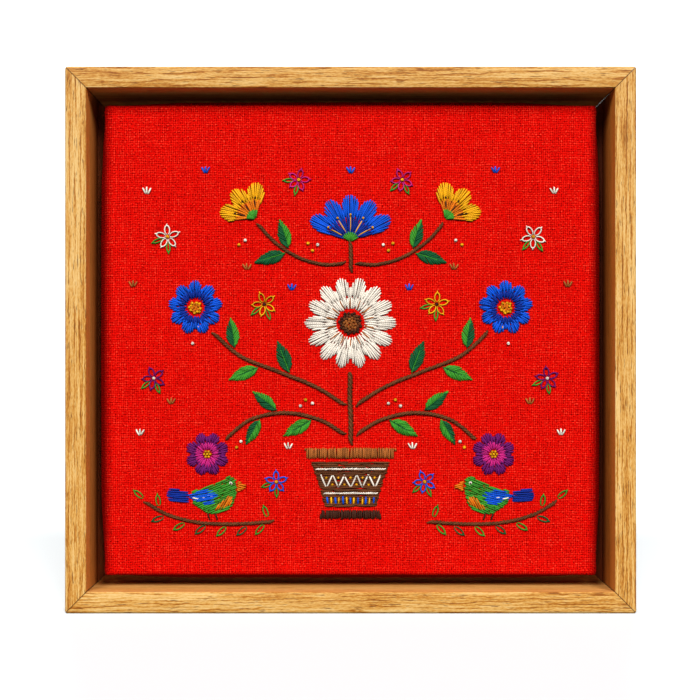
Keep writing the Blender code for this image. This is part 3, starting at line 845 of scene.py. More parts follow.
@dataclass
class Linen:
    """The red linen: one sheet, 1 mm thick, over the stretcher's front and sides and onto its back."""

    width: float = 285.8 * MM
    height: float = 273.2 * MM
    depth: float = 19.6 * MM
    thick: float = 1 * MM
    edge_round: float = 1.8 * MM
    face_round: float = 3.2 * MM
    face_depth: float = 3.0 * MM
    side_swell: float = 4.3 * MM
    low_swell: float = 0.85
    swell_run: float = 42 * MM
    front_swell: float = 0.1 * MM
    corner_fan: float = 3.2 * MM
    corner_reach: float = 0.3
    crowding: float = 1.3
    turn_over: float = 25 * MM
    bows: tuple[float, float, float, float] = (0.0, 0.45 * MM, 0.45 * MM, 0.55 * MM)
    tuck_height: float = 0.95 * MM
    tuck_reach: float = 34 * MM
    tuck_edge: float = 1.5 * MM
    cut_wave: float = 0.5 * MM
    cut_run: float = 4 * MM
    cells: tuple[int, int] = (150, 144)
    fuzz: float = 0.09 * MM
    seed: int = 11

    def lines(self, half: float, cells: int) -> Array:
        """Grid lines from -half to half, drawn together near both ends so that a corner's turn is smooth."""
        even = np.linspace(-1, 1, cells + 1)
        return half * np.sign(even) * (1 - (1 - np.abs(even)) ** self.crowding)

    def outline(self, xs: Array, zs: Array) -> tuple[Array, Array, Array, Array]:
        """The front's edge points in order: along the bottom, up the right, along the top, down the left.

        Args:
            xs: the grid's x lines.
            zs: the grid's z lines.

        Returns:
            The (n, 2) points, the (n, 2) directions in which the cloth leaves them, fanned out by up
            to 45 degrees near a corner, the (n, 2) directions square to their side, and their (n,)
            numbers in the grid.
        """
        nx, nz = len(xs) - 1, len(zs) - 1
        i = np.concatenate([np.arange(nx), np.full(nz, nx), np.arange(nx, 0, -1), np.zeros(nz, int)])
        j = np.concatenate([np.zeros(nx, int), np.arange(nz), np.full(nx, nz), np.arange(nz, 0, -1)])
        side = np.repeat([0, 1, 2, 3], [nx, nz, nx, nz])
        points = columns(xs[i], zs[j])
        square = np.radians(np.array([-90, 0, 90, 180])[side])
        along = np.where(side % 2 == 0, points[:, 0], points[:, 1])
        half = np.where(side % 2 == 0, xs[-1], zs[-1])
        ahead = np.sign(along) * np.where(side < 2, 1, -1)
        near = np.clip(1 - (half - np.abs(along)) / self.corner_fan, 0, 1)
        fan = ray(square + ahead * near * np.pi / 4) * (1 + self.corner_reach * near[:, None])
        return points, fan, ray(square), i * (nz + 1) + j

    def section(self) -> tuple[Array, Array]:
        """The sheet's section from the front's edge round to the cut edge and back inside.

        Returns:
            (k, 2) of how far out of the front's flat part a point lies and its y, and the (k,) arc
            lengths along the sheet.
        """
        front, back, radius, wide = LINEN_Y, LINEN_Y + self.depth, self.edge_round, self.face_round
        hub = wide - radius
        flange = hub - np.linspace(0, self.turn_over - radius, 10)[1:]
        deep = self.face_depth
        level = np.array([0, front + deep])
        outside = np.concatenate([
            arc((0, 0), 1, -90, 0, 9)[1:] * (wide, deep) + level,
            columns(wide, np.linspace(front + deep, back - radius, 8)[1:-1]),
            arc((hub, back - radius), radius, 0, 90, 5),
            columns(flange, back),
        ])
        inside = np.concatenate([
            columns(flange[::-3], back - self.thick),
            arc((hub, back - radius), radius - self.thick, 90, 0, 3),
            columns(wide - self.thick, np.linspace(back - radius, front + deep, 4)[1:-1]),
            arc((0, 0), 1, 0, -90, 5) * (wide - self.thick, deep - self.thick) + level,
        ])
        out_length = np.cumsum(np.linalg.norm(np.diff(outside, axis=0, prepend=[(0, front)]), axis=1))
        back_steps = np.linalg.norm(np.diff(inside, axis=0, prepend=inside[:1]), axis=1)
        in_length = np.maximum(out_length[-1] - np.cumsum(back_steps), 0)
        return np.concatenate([outside, inside]), np.concatenate([out_length, in_length])

    def warp(self, x: Array, z: Array) -> tuple[Array, Array]:
        """Bows each side by its own amount: most at its middle, and dying away inwards as the cube."""
        a, b = self.width / 2, self.height / 2
        bottom, right, top, left = self.bows
        level = 1 - np.clip(z / b, -1, 1) ** 2
        plumb = 1 - np.clip(x / a, -1, 1) ** 2
        out_x = np.where(x > 0, right, -left) * level * np.minimum(np.abs(x / a), 1) ** 3
        out_z = np.where(z > 0, top, -bottom) * plumb * np.minimum(np.abs(z / b), 1) ** 3
        return x + out_x, z + out_z

    def belly(self, points: Array, path: Array, half_x: float, half_z: float) -> Array:
        """How far the linen's sides swell beyond its front: most halfway back, and not at the corners.

        Along a side it grows with the root of the distance from the nearer corner. From front to back
        it rises and falls in two nearly straight slopes with a rounded top. The lower side swells less.

        Args:
            points: (n, 2) the front's edge points.
            path: (k, 2) the section.
            half_x: half the front's flat width.
            half_z: half its flat height.

        Returns:
            (k, n) distances.
        """
        from_corner = np.maximum(half_x - np.abs(points[:, 0]), half_z - np.abs(points[:, 1]))
        along = np.sqrt(np.clip(from_corner / self.swell_run, 0, 1))
        depth = np.clip((path[:, 1] - LINEN_Y - self.face_depth) / (self.depth - self.face_depth), 0, 1)
        slopes = np.maximum(1.02 - np.sqrt((2 * depth - 1) ** 2 + 0.04), 0)
        share = np.where(points[:, 1] < 1e-6 - half_z, self.low_swell, 1.0)
        return self.side_swell * slopes[:, None] * (along * share)[None, :]

    def swell(self, x: Array, z: Array) -> Array:
        """How unevenly the front is drawn: slow waves a tenth of a millimetre high that die at the edges."""
        a, b = self.width / 2, self.height / 2
        inside = (1 - (x / a) ** 2) * (1 - (z / b) ** 2)
        slow = np.sin(41 * x + 1.0) * np.sin(37 * z + 0.4) + 0.5 * np.sin(93 * x - 58 * z)
        strain = 0.5 * np.sin(150 * x + 30 * z) * np.sin(120 * z)
        return self.front_swell * np.clip(inside, 0, 1) ** 0.4 * (slow + strain)

    def tuck(self, x: Array, z: Array) -> Array:
        """The fold under a back corner: a layer on one side of the diagonal, thinner away from it."""
        from_end = self.height / 2 - np.abs(z)
        along = self.width / 2 - np.abs(x) - from_end
        over = np.clip(along / self.tuck_edge + 0.5, 0, 1)
        reach = self.tuck_reach * np.clip(1 - from_end / (self.turn_over + 1 * MM), 0.03, 1)
        return self.tuck_height * over * np.clip(1 - along / reach, 0, 1)

    def rim(self, points: Array, fan: Array, path: Array, half: Array) -> tuple[Array, Array, Array]:
        """The sheet beyond the front: its section carried round the edge, swollen, frayed and tucked.

        Args:
            points: (n, 2) the front's edge points.
            fan: (n, 2) the directions in which the cloth leaves them.
            path: (k, 2) the section.
            half: half the front's flat width and height.

        Returns:
            (k, n) x, z and y, with x and z from the middle of the panel.
        """
        count = len(points)
        out = path[:, None, 0]
        rng = np.random.default_rng(self.seed)
        loose = np.convolve(rng.uniform(-1, 1, count + 2), (0.25, 0.5, 0.25), "valid") * self.fuzz
        near_cut = np.clip((self.face_round - out - self.turn_over + self.cut_run) / self.cut_run, 0, 1)
        out = out + loose[None, :] * np.clip(out / self.edge_round, 0, 1)
        out = out + self.belly(points, path, half[0], half[1])
        waves = np.sin(np.arange(count) * 0.21) * np.sin(np.arange(count) * 0.057 + 1)
        ragged = waves + 2 * loose / self.fuzz
        out = out - self.cut_wave * near_cut * (ragged[None, :] * 0.5 + 0.5).clip(0, 1)
        shrink = 1 + np.minimum(out, 0)[..., None] / half
        x, z = np.moveaxis(points[None] * shrink + fan[None] * np.maximum(out, 0)[..., None], -1, 0)
        behind = path[:, 1:] > LINEN_Y + self.depth - 0.1 * MM
        return x, z, path[:, 1:] + behind * self.tuck(x, z)

    def build(self) -> None:
        """Makes the sheet: a grid for the front, rings for sides, back and inside, and a closing face."""
        xs = self.lines(self.width / 2 - self.face_round, self.cells[0])
        zs = self.lines(self.height / 2 - self.face_round, self.cells[1])
        grid_x, grid_z = (a.reshape(-1) for a in np.meshgrid(xs, zs, indexing="ij"))
        points, fan, plain, numbers = self.outline(xs, zs)
        path, lengths = self.section()
        rim_x, rim_z, rim_y = self.rim(points, fan, path, np.array([xs[-1], zs[-1]]))
        x = np.concatenate([grid_x, rim_x.reshape(-1)])
        z = np.concatenate([grid_z, rim_z.reshape(-1)])
        y = np.concatenate([LINEN_Y - self.swell(grid_x, grid_z), rim_y.reshape(-1)])
        bowed_x, bowed_z = self.warp(x, z)
        flat = points[None] + plain[None] * lengths[:, None, None]
        cut = np.concatenate([columns(grid_x, grid_z), flat.reshape(-1, 2)])
        nx, nz = self.cells
        corner = (np.arange(nx)[:, None] * (nz + 1) + np.arange(nz)[None, :]).reshape(-1)
        front = columns(corner, corner + nz + 1, corner + nz + 2, corner + 1)
        first, count = len(grid_x), len(points)
        here, ahead = np.arange(count), (np.arange(count) + 1) % count
        seam = columns(numbers[here], first + here, first + ahead, numbers[ahead])
        rings = (bridge(len(path), count) + first)[:, [0, 3, 2, 1]]
        closing = (first + (len(path) - 1) * count + here)[None, :]
        faces = [front, seam, rings, closing]
        corners = np.concatenate([f.reshape(-1) for f in faces])
        place = columns(bowed_x, y, PANEL_Z + bowed_z)
        piece = mesh_piece("red_linen", place, faces, uv=cut[corners])
        outward_faces(piece)
        for side in WAYS:
            SCREWS.cut(piece, side)
        piece.data.materials.append(LinenFinish(flat=(xs[-1], zs[-1])).material())
        report(piece, "linen", ["linen_cloth"])


class Needlework:
    """The stitches of one piece, gathered as tubes of cotton and made into a single mesh.

    Places are given for the right-hand side, and a piece on the left turns them over.
    """

    ROUND = 8
    SAMPLES = 9
    STEM_STEP = 0.86
    STEM_LENGTH = 1.9
    STEM_YARN = 0.56
    PETAL_YARN = 0.85
    KNOT_TURNS = 1.9
    DIVE = 0.35
    CLOTH = 1.0
    BACK_RISE = 0.4
    BACK_YARN = 0.95
    SHORTEST = 0.9
    BRICKS = (0.0, 0.5, 0.2, 0.7)

    def __init__(self, motif: str, seed: int, side: int) -> None:
        """Starts a piece with no stitches.

        Args:
            motif: what it shows, which is also the name of the solid under it.
            seed: the start of its random unevenness.
            side: 1, or -1 for a motif that is turned over to the left.
        """
        self.motif = motif
        self.rng = np.random.default_rng(seed)
        self.side = side
        self.mirror = (side, 1)
        self.threads: list[Thread] = []
        self.moves: list[tuple[Array, Array, Thread]] = []
        self.laid: list[tuple[Array, ...]] = []
        self.count = 0

    def placed(self, places: Any) -> Array:
        """Places as (n, 2), turned over to the piece's side."""
        return np.asarray(places, float).reshape(-1, 2) * self.mirror

    def lay(
        self, spines: Array, width: float, thread: Thread,
        ends: float = 0.45, flat: float = 0.86, facing: int = 1,
    ) -> None:
        """Lays tubes of cotton along lines.

        A ring's points are the line's point plus the side direction times half the width times the
        cosine, plus the upward direction times the half thickness times the sine. Both shrink to the
        ends with the square root of the sine of the way along.

        Args:
            spines: (n, k, 3) lines, as (u, v, h) in millimetres.
            width: the yarn's width in millimetres.
            thread: its cotton.
            ends: the share of the width that is left at both ends.
            flat: the yarn's thickness over its width.
            facing: 1 on the front of the work and -1 on its back.
        """
        if not len(spines):
            return
        if thread not in self.threads:
            self.threads.append(thread)
        paint = self.threads.index(thread)
        n, k, _ = spines.shape
        count = self.ROUND
        along = unit(np.gradient(spines, axis=1))
        side = unit(np.cross(along, (0.0, 0.0, 1.0)))
        up = np.cross(side, along)
        taper = ends + (1 - ends) * arch(np.clip(np.linspace(0, 1, k), 0.001, 0.999), 0.5)
        size = facing * 0.5 * width * taper[None, :] * self.rng.uniform(0.9, 1.08, (n, 1))
        turn = all_round(count)
        across = (size[..., None] * np.cos(turn))[..., None] * side[:, :, None, :]
        above = (flat * size[..., None] * np.sin(turn))[..., None] * up[:, :, None, :]
        rings = spines[:, :, None, :] + across + above
        base = self.count + np.arange(n)[:, None, None] * k * count
        one, caps = bridge(k, count), end_faces(k, count)
        quads = (base + one[None]).reshape(-1, 4)
        length = np.cumsum(np.linalg.norm(np.diff(spines, axis=1, prepend=spines[:, :1]), axis=2), axis=1)
        start = self.rng.uniform(0, 9, (n, 1))
        ring_u = np.repeat((length + start)[:, :, None], count, axis=2).reshape(n, -1)
        turn_from = np.tile(np.arange(count) / count, k - 1)
        quad_v = turn_from[:, None] + np.array([0, 1, 1, 0]) / count
        self.laid.append((
            rings.reshape(-1, 3),
            quads,
            (base + caps[None]).reshape(-1, count),
            columns(ring_u[:, one], quad_v).reshape(-1, 4, 2),
            columns(ring_u[:, caps], caps % count / count).reshape(-1, count, 2),
            np.repeat(self.rng.uniform(0, 1, n), k * count),
            np.full(len(quads), paint),
            np.full(2 * n, paint),
        ))
        self.count += n * k * count

    def stitches(
        self, starts: Any, ends: Any, thread: Thread,
        width: float = 1.2, crown: float = 0.62, lift: Array | float = 0.0, loose: float = 0.16,
    ) -> None:
        """Straight stitches that come up out of the cloth, lie over it and go down again.

        The line runs from start to end with its points drawn together at both, and its height is the
        crown times the sine of the way along to the power of 0.4, from a little under the surface.

        Args:
            starts: (n, 2) where the stitches come up, in millimetres.
            ends: (n, 2) where they go down.
            thread: their cotton.
            width: the yarn's width.
            crown: the height of the yarn's middle over the cloth.
            lift: what lies under each stitch, (n,) or one number.
            loose: how far a stitch may stray from its place.
        """
        starts, ends = self.placed(starts), self.placed(ends)
        n = len(starts)
        if not n:
            return
        starts = starts + self.rng.normal(0, loose, (n, 2))
        ends = ends + self.rng.normal(0, loose, (n, 2))
        self.moves.append((ends[:-1], starts[1:], thread))
        way = 0.5 - 0.5 * np.cos(np.pi * np.linspace(0, 1, self.SAMPLES))
        sway = self.rng.normal(0, 0.5 * loose, (n, 1, 1)) * arch(way)[None, :, None]
        flat = between(starts, ends, way) + unit(quarter_turn(ends - starts))[:, None] * sway
        top = crown + np.broadcast_to(lift, (n,)) + self.rng.normal(0, 0.04, n)
        height = -self.DIVE + (top[:, None] + self.DIVE) * arch(way, 0.4)
        self.lay(raised(flat, height), width, thread)

    def run(self, starts: Array, ends: Array, thread: Thread) -> None:
        """Yarn that runs behind the linen: its height is the cloth's back less the root of the arch.

        Args:
            starts: (n, 2) where the yarn comes through, in millimetres.
            ends: (n, 2) where it goes back.
            thread: its cotton.
        """
        way = np.linspace(0, 1, 5)
        low = self.CLOTH + self.BACK_RISE * arch(way, 0.5)
        self.lay(raised(between(starts, ends, way), -low), self.BACK_YARN, thread, facing=-1)

    def rope(self, path: Any, width: float, thread: Thread, lift: float = 0.0, slant: float = 0.36) -> None:
        """A line of stem stitch: short stitches, each from one side of the line to the other.

        Args:
            path: (p, 2) points of the line.
            width: the line's width in millimetres.
            thread: its cotton.
            lift: what lies under it.
            slant: how far each stitch starts and ends from the line, over its width.
        """
        path = self.placed(path)
        reach = np.concatenate([[0], np.cumsum(np.linalg.norm(np.diff(path, axis=0), axis=1))])
        normal = unit(quarter_turn(np.gradient(path, axis=0)))
        step, long = self.STEM_STEP * width, self.STEM_LENGTH * width
        begin = np.arange(0, max(reach[-1] - long, 0) + step, step)
        way = np.linspace(0, 1, self.SAMPLES)
        at = np.clip(begin[:, None] + long * way[None, :], 0, reach[-1])
        off = (way - 0.5)[None, :] * 2 * slant * width + self.rng.normal(0, 0.05, (len(begin), 1))
        u, v = (np.interp(at, reach, path[:, i]) + np.interp(at, reach, normal[:, i]) * off for i in (0, 1))
        line = columns(u, v)
        self.moves.append((line[:-1, -1], line[1:, 0], thread))
        top = lift + 0.3 * width
        h = -self.DIVE + (top + self.DIVE) * arch(way, 0.9) + self.rng.normal(0, 0.03, (len(begin), 1))
        self.lay(raised(line, h), self.STEM_YARN * width, thread, flat=1.0)

    def loops(
        self, centre: Point, angles: Any, start: float, end: float, wide: float, thread: Thread
    ) -> None:
        """Lazy daisies: a loop out to each petal's tip and back, held there by a short stitch.

        A loop's way out is (1 - cos 2 pi t) / 2 of its length, and its width is the sine of 2 pi t.

        Args:
            centre: the flower's middle.
            angles: the petals' directions, in radians and not turned over.
            start: where the petals begin, from the middle.
            end: where they end.
            wide: how wide a petal is.
            thread: their cotton.
        """
        tip = ray(np.asarray(angles, float))
        middle = self.placed(centre)
        way = np.linspace(0, 1, 15)
        out = start + (end - start) * (1 - np.cos(2 * np.pi * way)) / 2
        aside = 0.5 * wide * np.sin(2 * np.pi * way)
        line = middle + tip[:, None] * out[:, None] + quarter_turn(tip)[:, None] * aside[:, None]
        self.lay(raised(line, -0.2 + 0.75 * arch(way, 0.4)), self.PETAL_YARN, thread)
        held = [(middle + tip * reach) * self.mirror for reach in (end - 0.5, end + 1.1)]
        self.stitches(held[0], held[1], thread, 0.8, 0.7, loose=0.08)

    def knots(
        self, places: Any, thread: Thread, radius: float = 0.62, lift: float = 0.0, yarn: float = 0.8
    ) -> None:
        """Wound knots: the yarn climbs round nearly two turns and closes over the middle.

        Args:
            places: (n, 2) their middles.
            thread: their cotton.
            radius: the coil's radius.
            lift: what lies under them.
            yarn: the yarn's width.
        """
        places = self.placed(places)
        way = np.linspace(0, 1, 18)
        turn = 2 * np.pi * self.KNOT_TURNS * way[None, :] + self.rng.uniform(0, 2 * np.pi, (len(places), 1))
        wide = radius * (1 - 0.75 * way**2)
        coil = places[:, None] + wide[:, None] * ray(turn)
        self.lay(raised(coil, lift + 0.25 + 0.85 * way), yarn, thread, ends=0.7, flat=0.95)

    def hatch(
        self, outline: Any, angle: float, thread: Thread, pitch: float,
        longest: float = 13.0, dome: float = 0.3, lift: float = 0.0,
    ) -> None:
        """Fills an outline with parallel stitches, in rows that break like brickwork where they are long.

        Each row's line is met with every edge of the outline, and the places where it goes in and out
        are the ends of its stitches. The rows rise towards the outline's middle. Long rows are worked a
        column of stitches at a time, so that the yarn goes back behind each.

        Args:
            outline: (n, 2) the outline's corners.
            angle: the stitches' direction, in degrees.
            thread: their cotton.
            pitch: the rows' distance.
            longest: the longest stitch.
            dome: how much the middle row lies over the outer ones.
            lift: what lies under the patch.
        """
        turn = math.radians(angle * self.side)
        turned = np.array([[math.cos(turn), math.sin(turn)], [-math.sin(turn), math.cos(turn)]])
        corner = self.placed(outline) @ turned.T
        after = np.roll(corner, -1, axis=0)
        low, high = corner[:, 1].min(), corner[:, 1].max()
        rows = max(round((high - low) / pitch), 1)
        level = low + (np.arange(rows) + 0.5) * (high - low) / rows
        below = level[:, None]
        crossed = (corner[:, 1] <= below) != (after[:, 1] <= below)
        rise = np.where(after[:, 1] == corner[:, 1], 1.0, after[:, 1] - corner[:, 1])
        meets = corner[:, 0] + (below - corner[:, 1]) / rise * (after[:, 0] - corner[:, 0])
        meets = np.sort(np.where(crossed, meets, np.inf), axis=1)
        meets = meets[:, : 2 * (meets.shape[1] // 2)]
        begin, end = meets[:, 0::2], meets[:, 1::2]
        good = np.isfinite(end)
        row = np.broadcast_to(np.arange(rows)[:, None], begin.shape)[good]
        begin, end = begin[good][:, None], end[good][:, None]
        first = corner[:, 0].min() - longest
        breaks = first + longest * np.arange(int((corner[:, 0].max() - first) / longest) + 3)
        shift = longest * np.array(self.BRICKS)[row % 4] + self.rng.normal(0, 0.5, len(row))
        cell = breaks[None, :] - longest + shift[:, None]
        whole = (end - begin) <= 1.25 * longest
        from_x = np.where(whole, begin, np.maximum(begin, cell))
        to_x = np.where(whole, end, np.minimum(end, cell + longest))
        keep = (to_x - from_x) > self.SHORTEST
        keep &= ~whole | (np.arange(cell.shape[1])[None, :] == 0)
        rows_kept = np.broadcast_to(row[:, None], cell.shape).T[keep.T]
        starts, ends = (
            columns(x.T[keep.T], level[rows_kept]) @ turned * self.mirror for x in (from_x, to_x)
        )
        middle = 2 * (rows_kept + 0.5) / rows - 1
        self.stitches(starts, ends, thread, 1.04 * pitch, lift=lift + dome * (1 - middle**2))

    def finish(self, covers: bool) -> None:
        """Makes the piece from all that was laid, with a material for each cotton.

        Args:
            covers: whether it stands for the solid of its motif.
        """
        place, quads, caps, quad_uv, cap_uv, tones, quad_paint, cap_paint = (
            np.concatenate(column) for column in zip(*self.laid)
        )
        place = place * MM
        world = columns(place[:, 0], LINEN_Y - place[:, 2], PANEL_Z + place[:, 1])
        uv = np.concatenate([corners[:, ::-1].reshape(-1, 2) for corners in (quad_uv, cap_uv)])
        faces = [quads[:, ::-1], caps[:, ::-1]]
        paint = np.concatenate([quad_paint, cap_paint])
        piece = mesh_piece(f"{self.motif}_cotton", world, faces, uv, tones, paint)
        for thread in self.threads:
            piece.data.materials.append(CottonFinish(thread).material())
        report(piece, self.threads[0].value[1], [self.motif] if covers else ())


def smooth_path(points: Sequence[Point], samples: int = 4, closed_path: bool = False) -> Array:
    """A curve through points: each span is a cubic whose end slopes are half its neighbours' step.

    Args:
        points: (n, 2) places that the curve passes.
        samples: how many points each span gets.
        closed_path: whether the curve comes round to its start.

    Returns:
        The curve's points.
    """
    given = np.asarray(points, float)
    last = given[:2] if closed_path else given[-1:]
    around = np.concatenate([given[-1:] if closed_path else given[:1], given, last])
    spans = len(around) - 3
    before, start, end, after = (around[i : i + spans, None] for i in range(4))
    t = (np.arange(samples) / samples)[None, :, None]
    bend = (2 * before - 5 * start + 4 * end - after) * t**2 + (3 * start - before - 3 * end + after) * t**3
    path = (0.5 * (2 * start + (end - before) * t + bend)).reshape(-1, 2)
    return path if closed_path else np.concatenate([path, given[-1:]])


@dataclass(frozen=True)
class Band:
    """A band of the pot: its edges, their half widths, its cotton, its stitches' angle and their dome."""

    name: str
    top: float
    bottom: float
    half_top: float
    half_bottom: float
    thread: Thread
    angle: float
    dome: float
    waist: float = 0.6
    inset: float = 0.5

    def outline(self) -> Array:
        """The band's corners, drawn in by the inset, with its sides pulled in a little at mid height."""
        waist = (self.half_top + self.half_bottom) / 2 - self.waist - self.inset
        right = [
            (self.half_top - self.inset, self.top - self.inset),
            (waist, (self.top + self.bottom) / 2),
            (self.half_bottom - self.inset, self.bottom + self.inset),
        ]
        return np.array(right + [(-u, v) for u, v in right[::-1]])


@dataclass(frozen=True)
class Stem:
    """A line of stem stitch through a few points, drawn on one side or on both."""

    name: str
    mirrored: bool
    width: float
    points: tuple[Point, ...]


@dataclass(frozen=True)
class Leaf:
    """A leaf beside a stem: how far along it, on which flank, its size and how far it turns away."""

    name: str
    stem: str
    along: float
    flank: int
    length: float
    width: float
    spread: float
    thread: Thread
    gap: float = 0.9
    fullness: float = 0.85
    pitch: float = 1.55
    lead: float = 0.26
    tip_start: float = 0.72

    def root(self, stem: Stem) -> tuple[Array, Array]:
        """Where the leaf starts, and its unit direction."""
        path = smooth_path(stem.points)
        i = round(self.along * (len(path) - 1))
        along = unit(path[min(i + 1, len(path) - 1)] - path[max(i - 1, 0)])
        turn = math.radians(self.spread) * self.flank
        turned = np.array([[math.cos(turn), -math.sin(turn)], [math.sin(turn), math.cos(turn)]])
        return path[i] + quarter_turn(along) * self.flank * (stem.width / 2 + self.gap), turned @ along

    def half_width(self, share: Array) -> Array:
        """Half the leaf's width, the sine of the way along drawn out to a point."""
        return self.width / 2 * arch(share**self.fullness)


@dataclass(frozen=True)
class Blossom:
    """A round flower, or a fan of petals that opens from its foot."""

    name: str
    mirrored: bool
    middle: Point
    petals: int
    radius: float
    spread: float
    inner: Thread
    outer: Thread
    zones: Point
    waist: float = 0.62
    facing: float = 0.0
    roundness: float = 0.5

    def rays(self, radius: float, yarn: float) -> tuple[Array, Array, Array, Array]:
        """The rays of one round, which lie a yarn's width apart at a radius.

        Args:
            radius: where they are a yarn apart.
            yarn: the yarn's width.

        Returns:
            The rays' numbers, the swell of the petal at each, 0 between petals and 1 at a tip, the
            distance of the flower's edge there, and the unit directions.
        """
        count = round(math.radians(self.spread) * radius / yarn)
        share = (np.arange(count) + 0.5) / count
        swell = np.abs(np.sin(np.pi * self.petals * share)) ** self.roundness
        edge = self.radius * (self.waist + (1 - self.waist) * swell)
        return np.arange(count), swell, edge, self.ray(share)

    def ray(self, share: Array) -> Array:
        """Unit directions at shares of the spread, from the flower's upright."""
        return ray(np.radians(self.spread * (share - 0.5) + self.facing))[..., ::-1]


@dataclass
class Embroidery:
    """The design in cotton: a pot of flowers between two birds, stitch by stitch over the patches."""

    yarn: float = 1.08
    bands: tuple[Band, ...] = (
        Band("pot_rim", -62, -69, 27, 26, Thread.TAN, 90, 0.3),
        Band("pot_body", -70, -97, 23.5, 15.5, Thread.BROWN, 0, 0.15),
        Band("pot_foot", -98, -104, 17.5, 19.5, Thread.DARK_BROWN, 90, 0.3),
    )
    stems: tuple[Stem, ...] = (
        Stem("stem_lower", False, 3.2, ((0, -61), (0.3, -48), (-0.3, -34), (0, -19))),
        Stem("stem_upper", False, 2.8, ((0, 39), (0.3, 48), (0, 57.5))),
        Stem("branch_low", True, 2.6, ((2.8, -55), (18, -46), (38, -42), (58, -46), (72, -57))),
        Stem("branch_middle", True, 2.6, ((2.6, -38), (20, -27), (42, -18), (64, -9), (80, 5))),
        Stem("branch_high", True, 2.4, ((2.4, 45), (15, 44), (30, 48), (44, 57), (54, 68))),
        Stem("twig", True, 2.4, ((44, -105), (66, -106.4), (88, -105.6), (106, -101), (120, -93))),
    )
    leaves: tuple[Leaf, ...] = (
        Leaf("leaf_low_inner", "branch_low", 0.34, -1, 18, 7.6, 46, Thread.GREEN),
        Leaf("leaf_low_outer", "branch_low", 0.66, -1, 16, 7.0, 44, Thread.DARK_GREEN),
        Leaf("leaf_low_top", "branch_low", 0.58, 1, 17, 7.2, 44, Thread.GREEN),
        Leaf("leaf_middle_inner", "branch_middle", 0.42, 1, 19, 8.0, 48, Thread.DARK_GREEN),
        Leaf("leaf_middle_under", "branch_middle", 0.64, -1, 18, 7.6, 44, Thread.GREEN),
        Leaf("leaf_middle_top", "branch_middle", 0.80, 1, 17, 7.4, 44, Thread.GREEN),
        Leaf("leaf_high_top", "branch_high", 0.62, 1, 17, 7.4, 40, Thread.GREEN),
        Leaf("leaf_high_under", "branch_high", 0.62, -1, 18, 7.6, 50, Thread.DARK_GREEN),
    )
    blossoms: tuple[Blossom, ...] = (
        Blossom("daisy", False, (0, 10), 14, 27, 360, Thread.CREAM, Thread.CREAM, (8.2, 14.5)),
        Blossom("crown_flower", False, (0, 58), 5, 27, 150, Thread.DEEP_BLUE, Thread.BLUE, (3.0, 13.5)),
        Blossom("cornflower", True, (90, 19), 9, 16, 360, Thread.DEEP_BLUE, Thread.BLUE, (5.2, 9.5), 0.64),
        Blossom(
            "bell_flower", True, (55.5, 71), 3, 21, 120,
            Thread.ORANGE, Thread.YELLOW, (2.5, 10.5), facing=38,
        ),
        Blossom("aster", True, (83, -66), 8, 13, 360, Thread.MAGENTA, Thread.PURPLE, (2.6, 7.0), 0.64),
    )
    bird_middle: Point = (80, -91)
    bird_outline: tuple[Point, ...] = (
        (-20, 6.2), (-14.8, 9.8), (-10.2, 12.4), (-4.6, 9.2), (5, 5.8), (14, 3.6),
        (25, 5), (25.4, -1.6), (13.5, -3), (1, -9.8), (-10.6, -6), (-14.8, 2.8),
    )
    bird_breast: tuple[Point, ...] = (
        (-12.6, 0.6), (-10.4, -4.8), (-4.5, -7.6), (-1.5, -7.4), (-5.0, -2.6), (-9.6, 1.8),
    )
    bird_wing: tuple[Point, ...] = (
        (-4.6, 2.6), (0.5, 4.6), (7, 4.2), (15.5, 1.6), (12, -1.6), (5, -4.6), (-1.5, -3.6),
    )
    beak_end: float = -14.6
    tail_start: float = 13.0
    stitch_width: float = 1.15
    eye_pitch: float = 1.02
    seed: int = 41
    longest_run: float = 20.0
    reverse_gap: float = 1.5
    works: list[Needlework] = field(default_factory=list)

    def sides(self, name: str, mirrored: bool = True, covers: bool = True) -> Iterator[Needlework]:
        """Starts a piece on each side that a motif is worked on, and makes it when its stitches are laid.

        Args:
            name: the motif.
            mirrored: whether it is worked on the left and the right.
            covers: whether it has a solid of its name, which the piece replaces.

        Yields:
            The pieces, one after another, each with its own unevenness.
        """
        for ending, side in (("_left", -1), ("_right", 1)) if mirrored else (("", 1),):
            work = Needlework(name + ending, self.seed + len(self.works), side)
            self.works.append(work)
            yield work
            work.finish(covers)

    def build(self) -> None:
        """Works the whole design."""
        for band in self.bands:
            for work in self.sides(band.name, False):
                work.hatch(band.outline(), band.angle, band.thread, self.yarn, dome=band.dome)
                if band.name == "pot_body":
                    self.pattern(work)
        for stem in self.stems:
            for work in self.sides(stem.name, stem.mirrored):
                work.rope(smooth_path(stem.points, 12), stem.width, Thread.BROWN)
        for leaf in self.leaves:
            for work in self.sides(leaf.name):
                self.leaf(work, leaf)
        for blossom in self.blossoms:
            for work in self.sides(blossom.name, blossom.mirrored):
                self.blossom(work, blossom)
        self.eyes()
        for work in self.sides("bird"):
            self.bird(work)
        self.small_flowers()
        self.small_twigs()
        self.reverse()

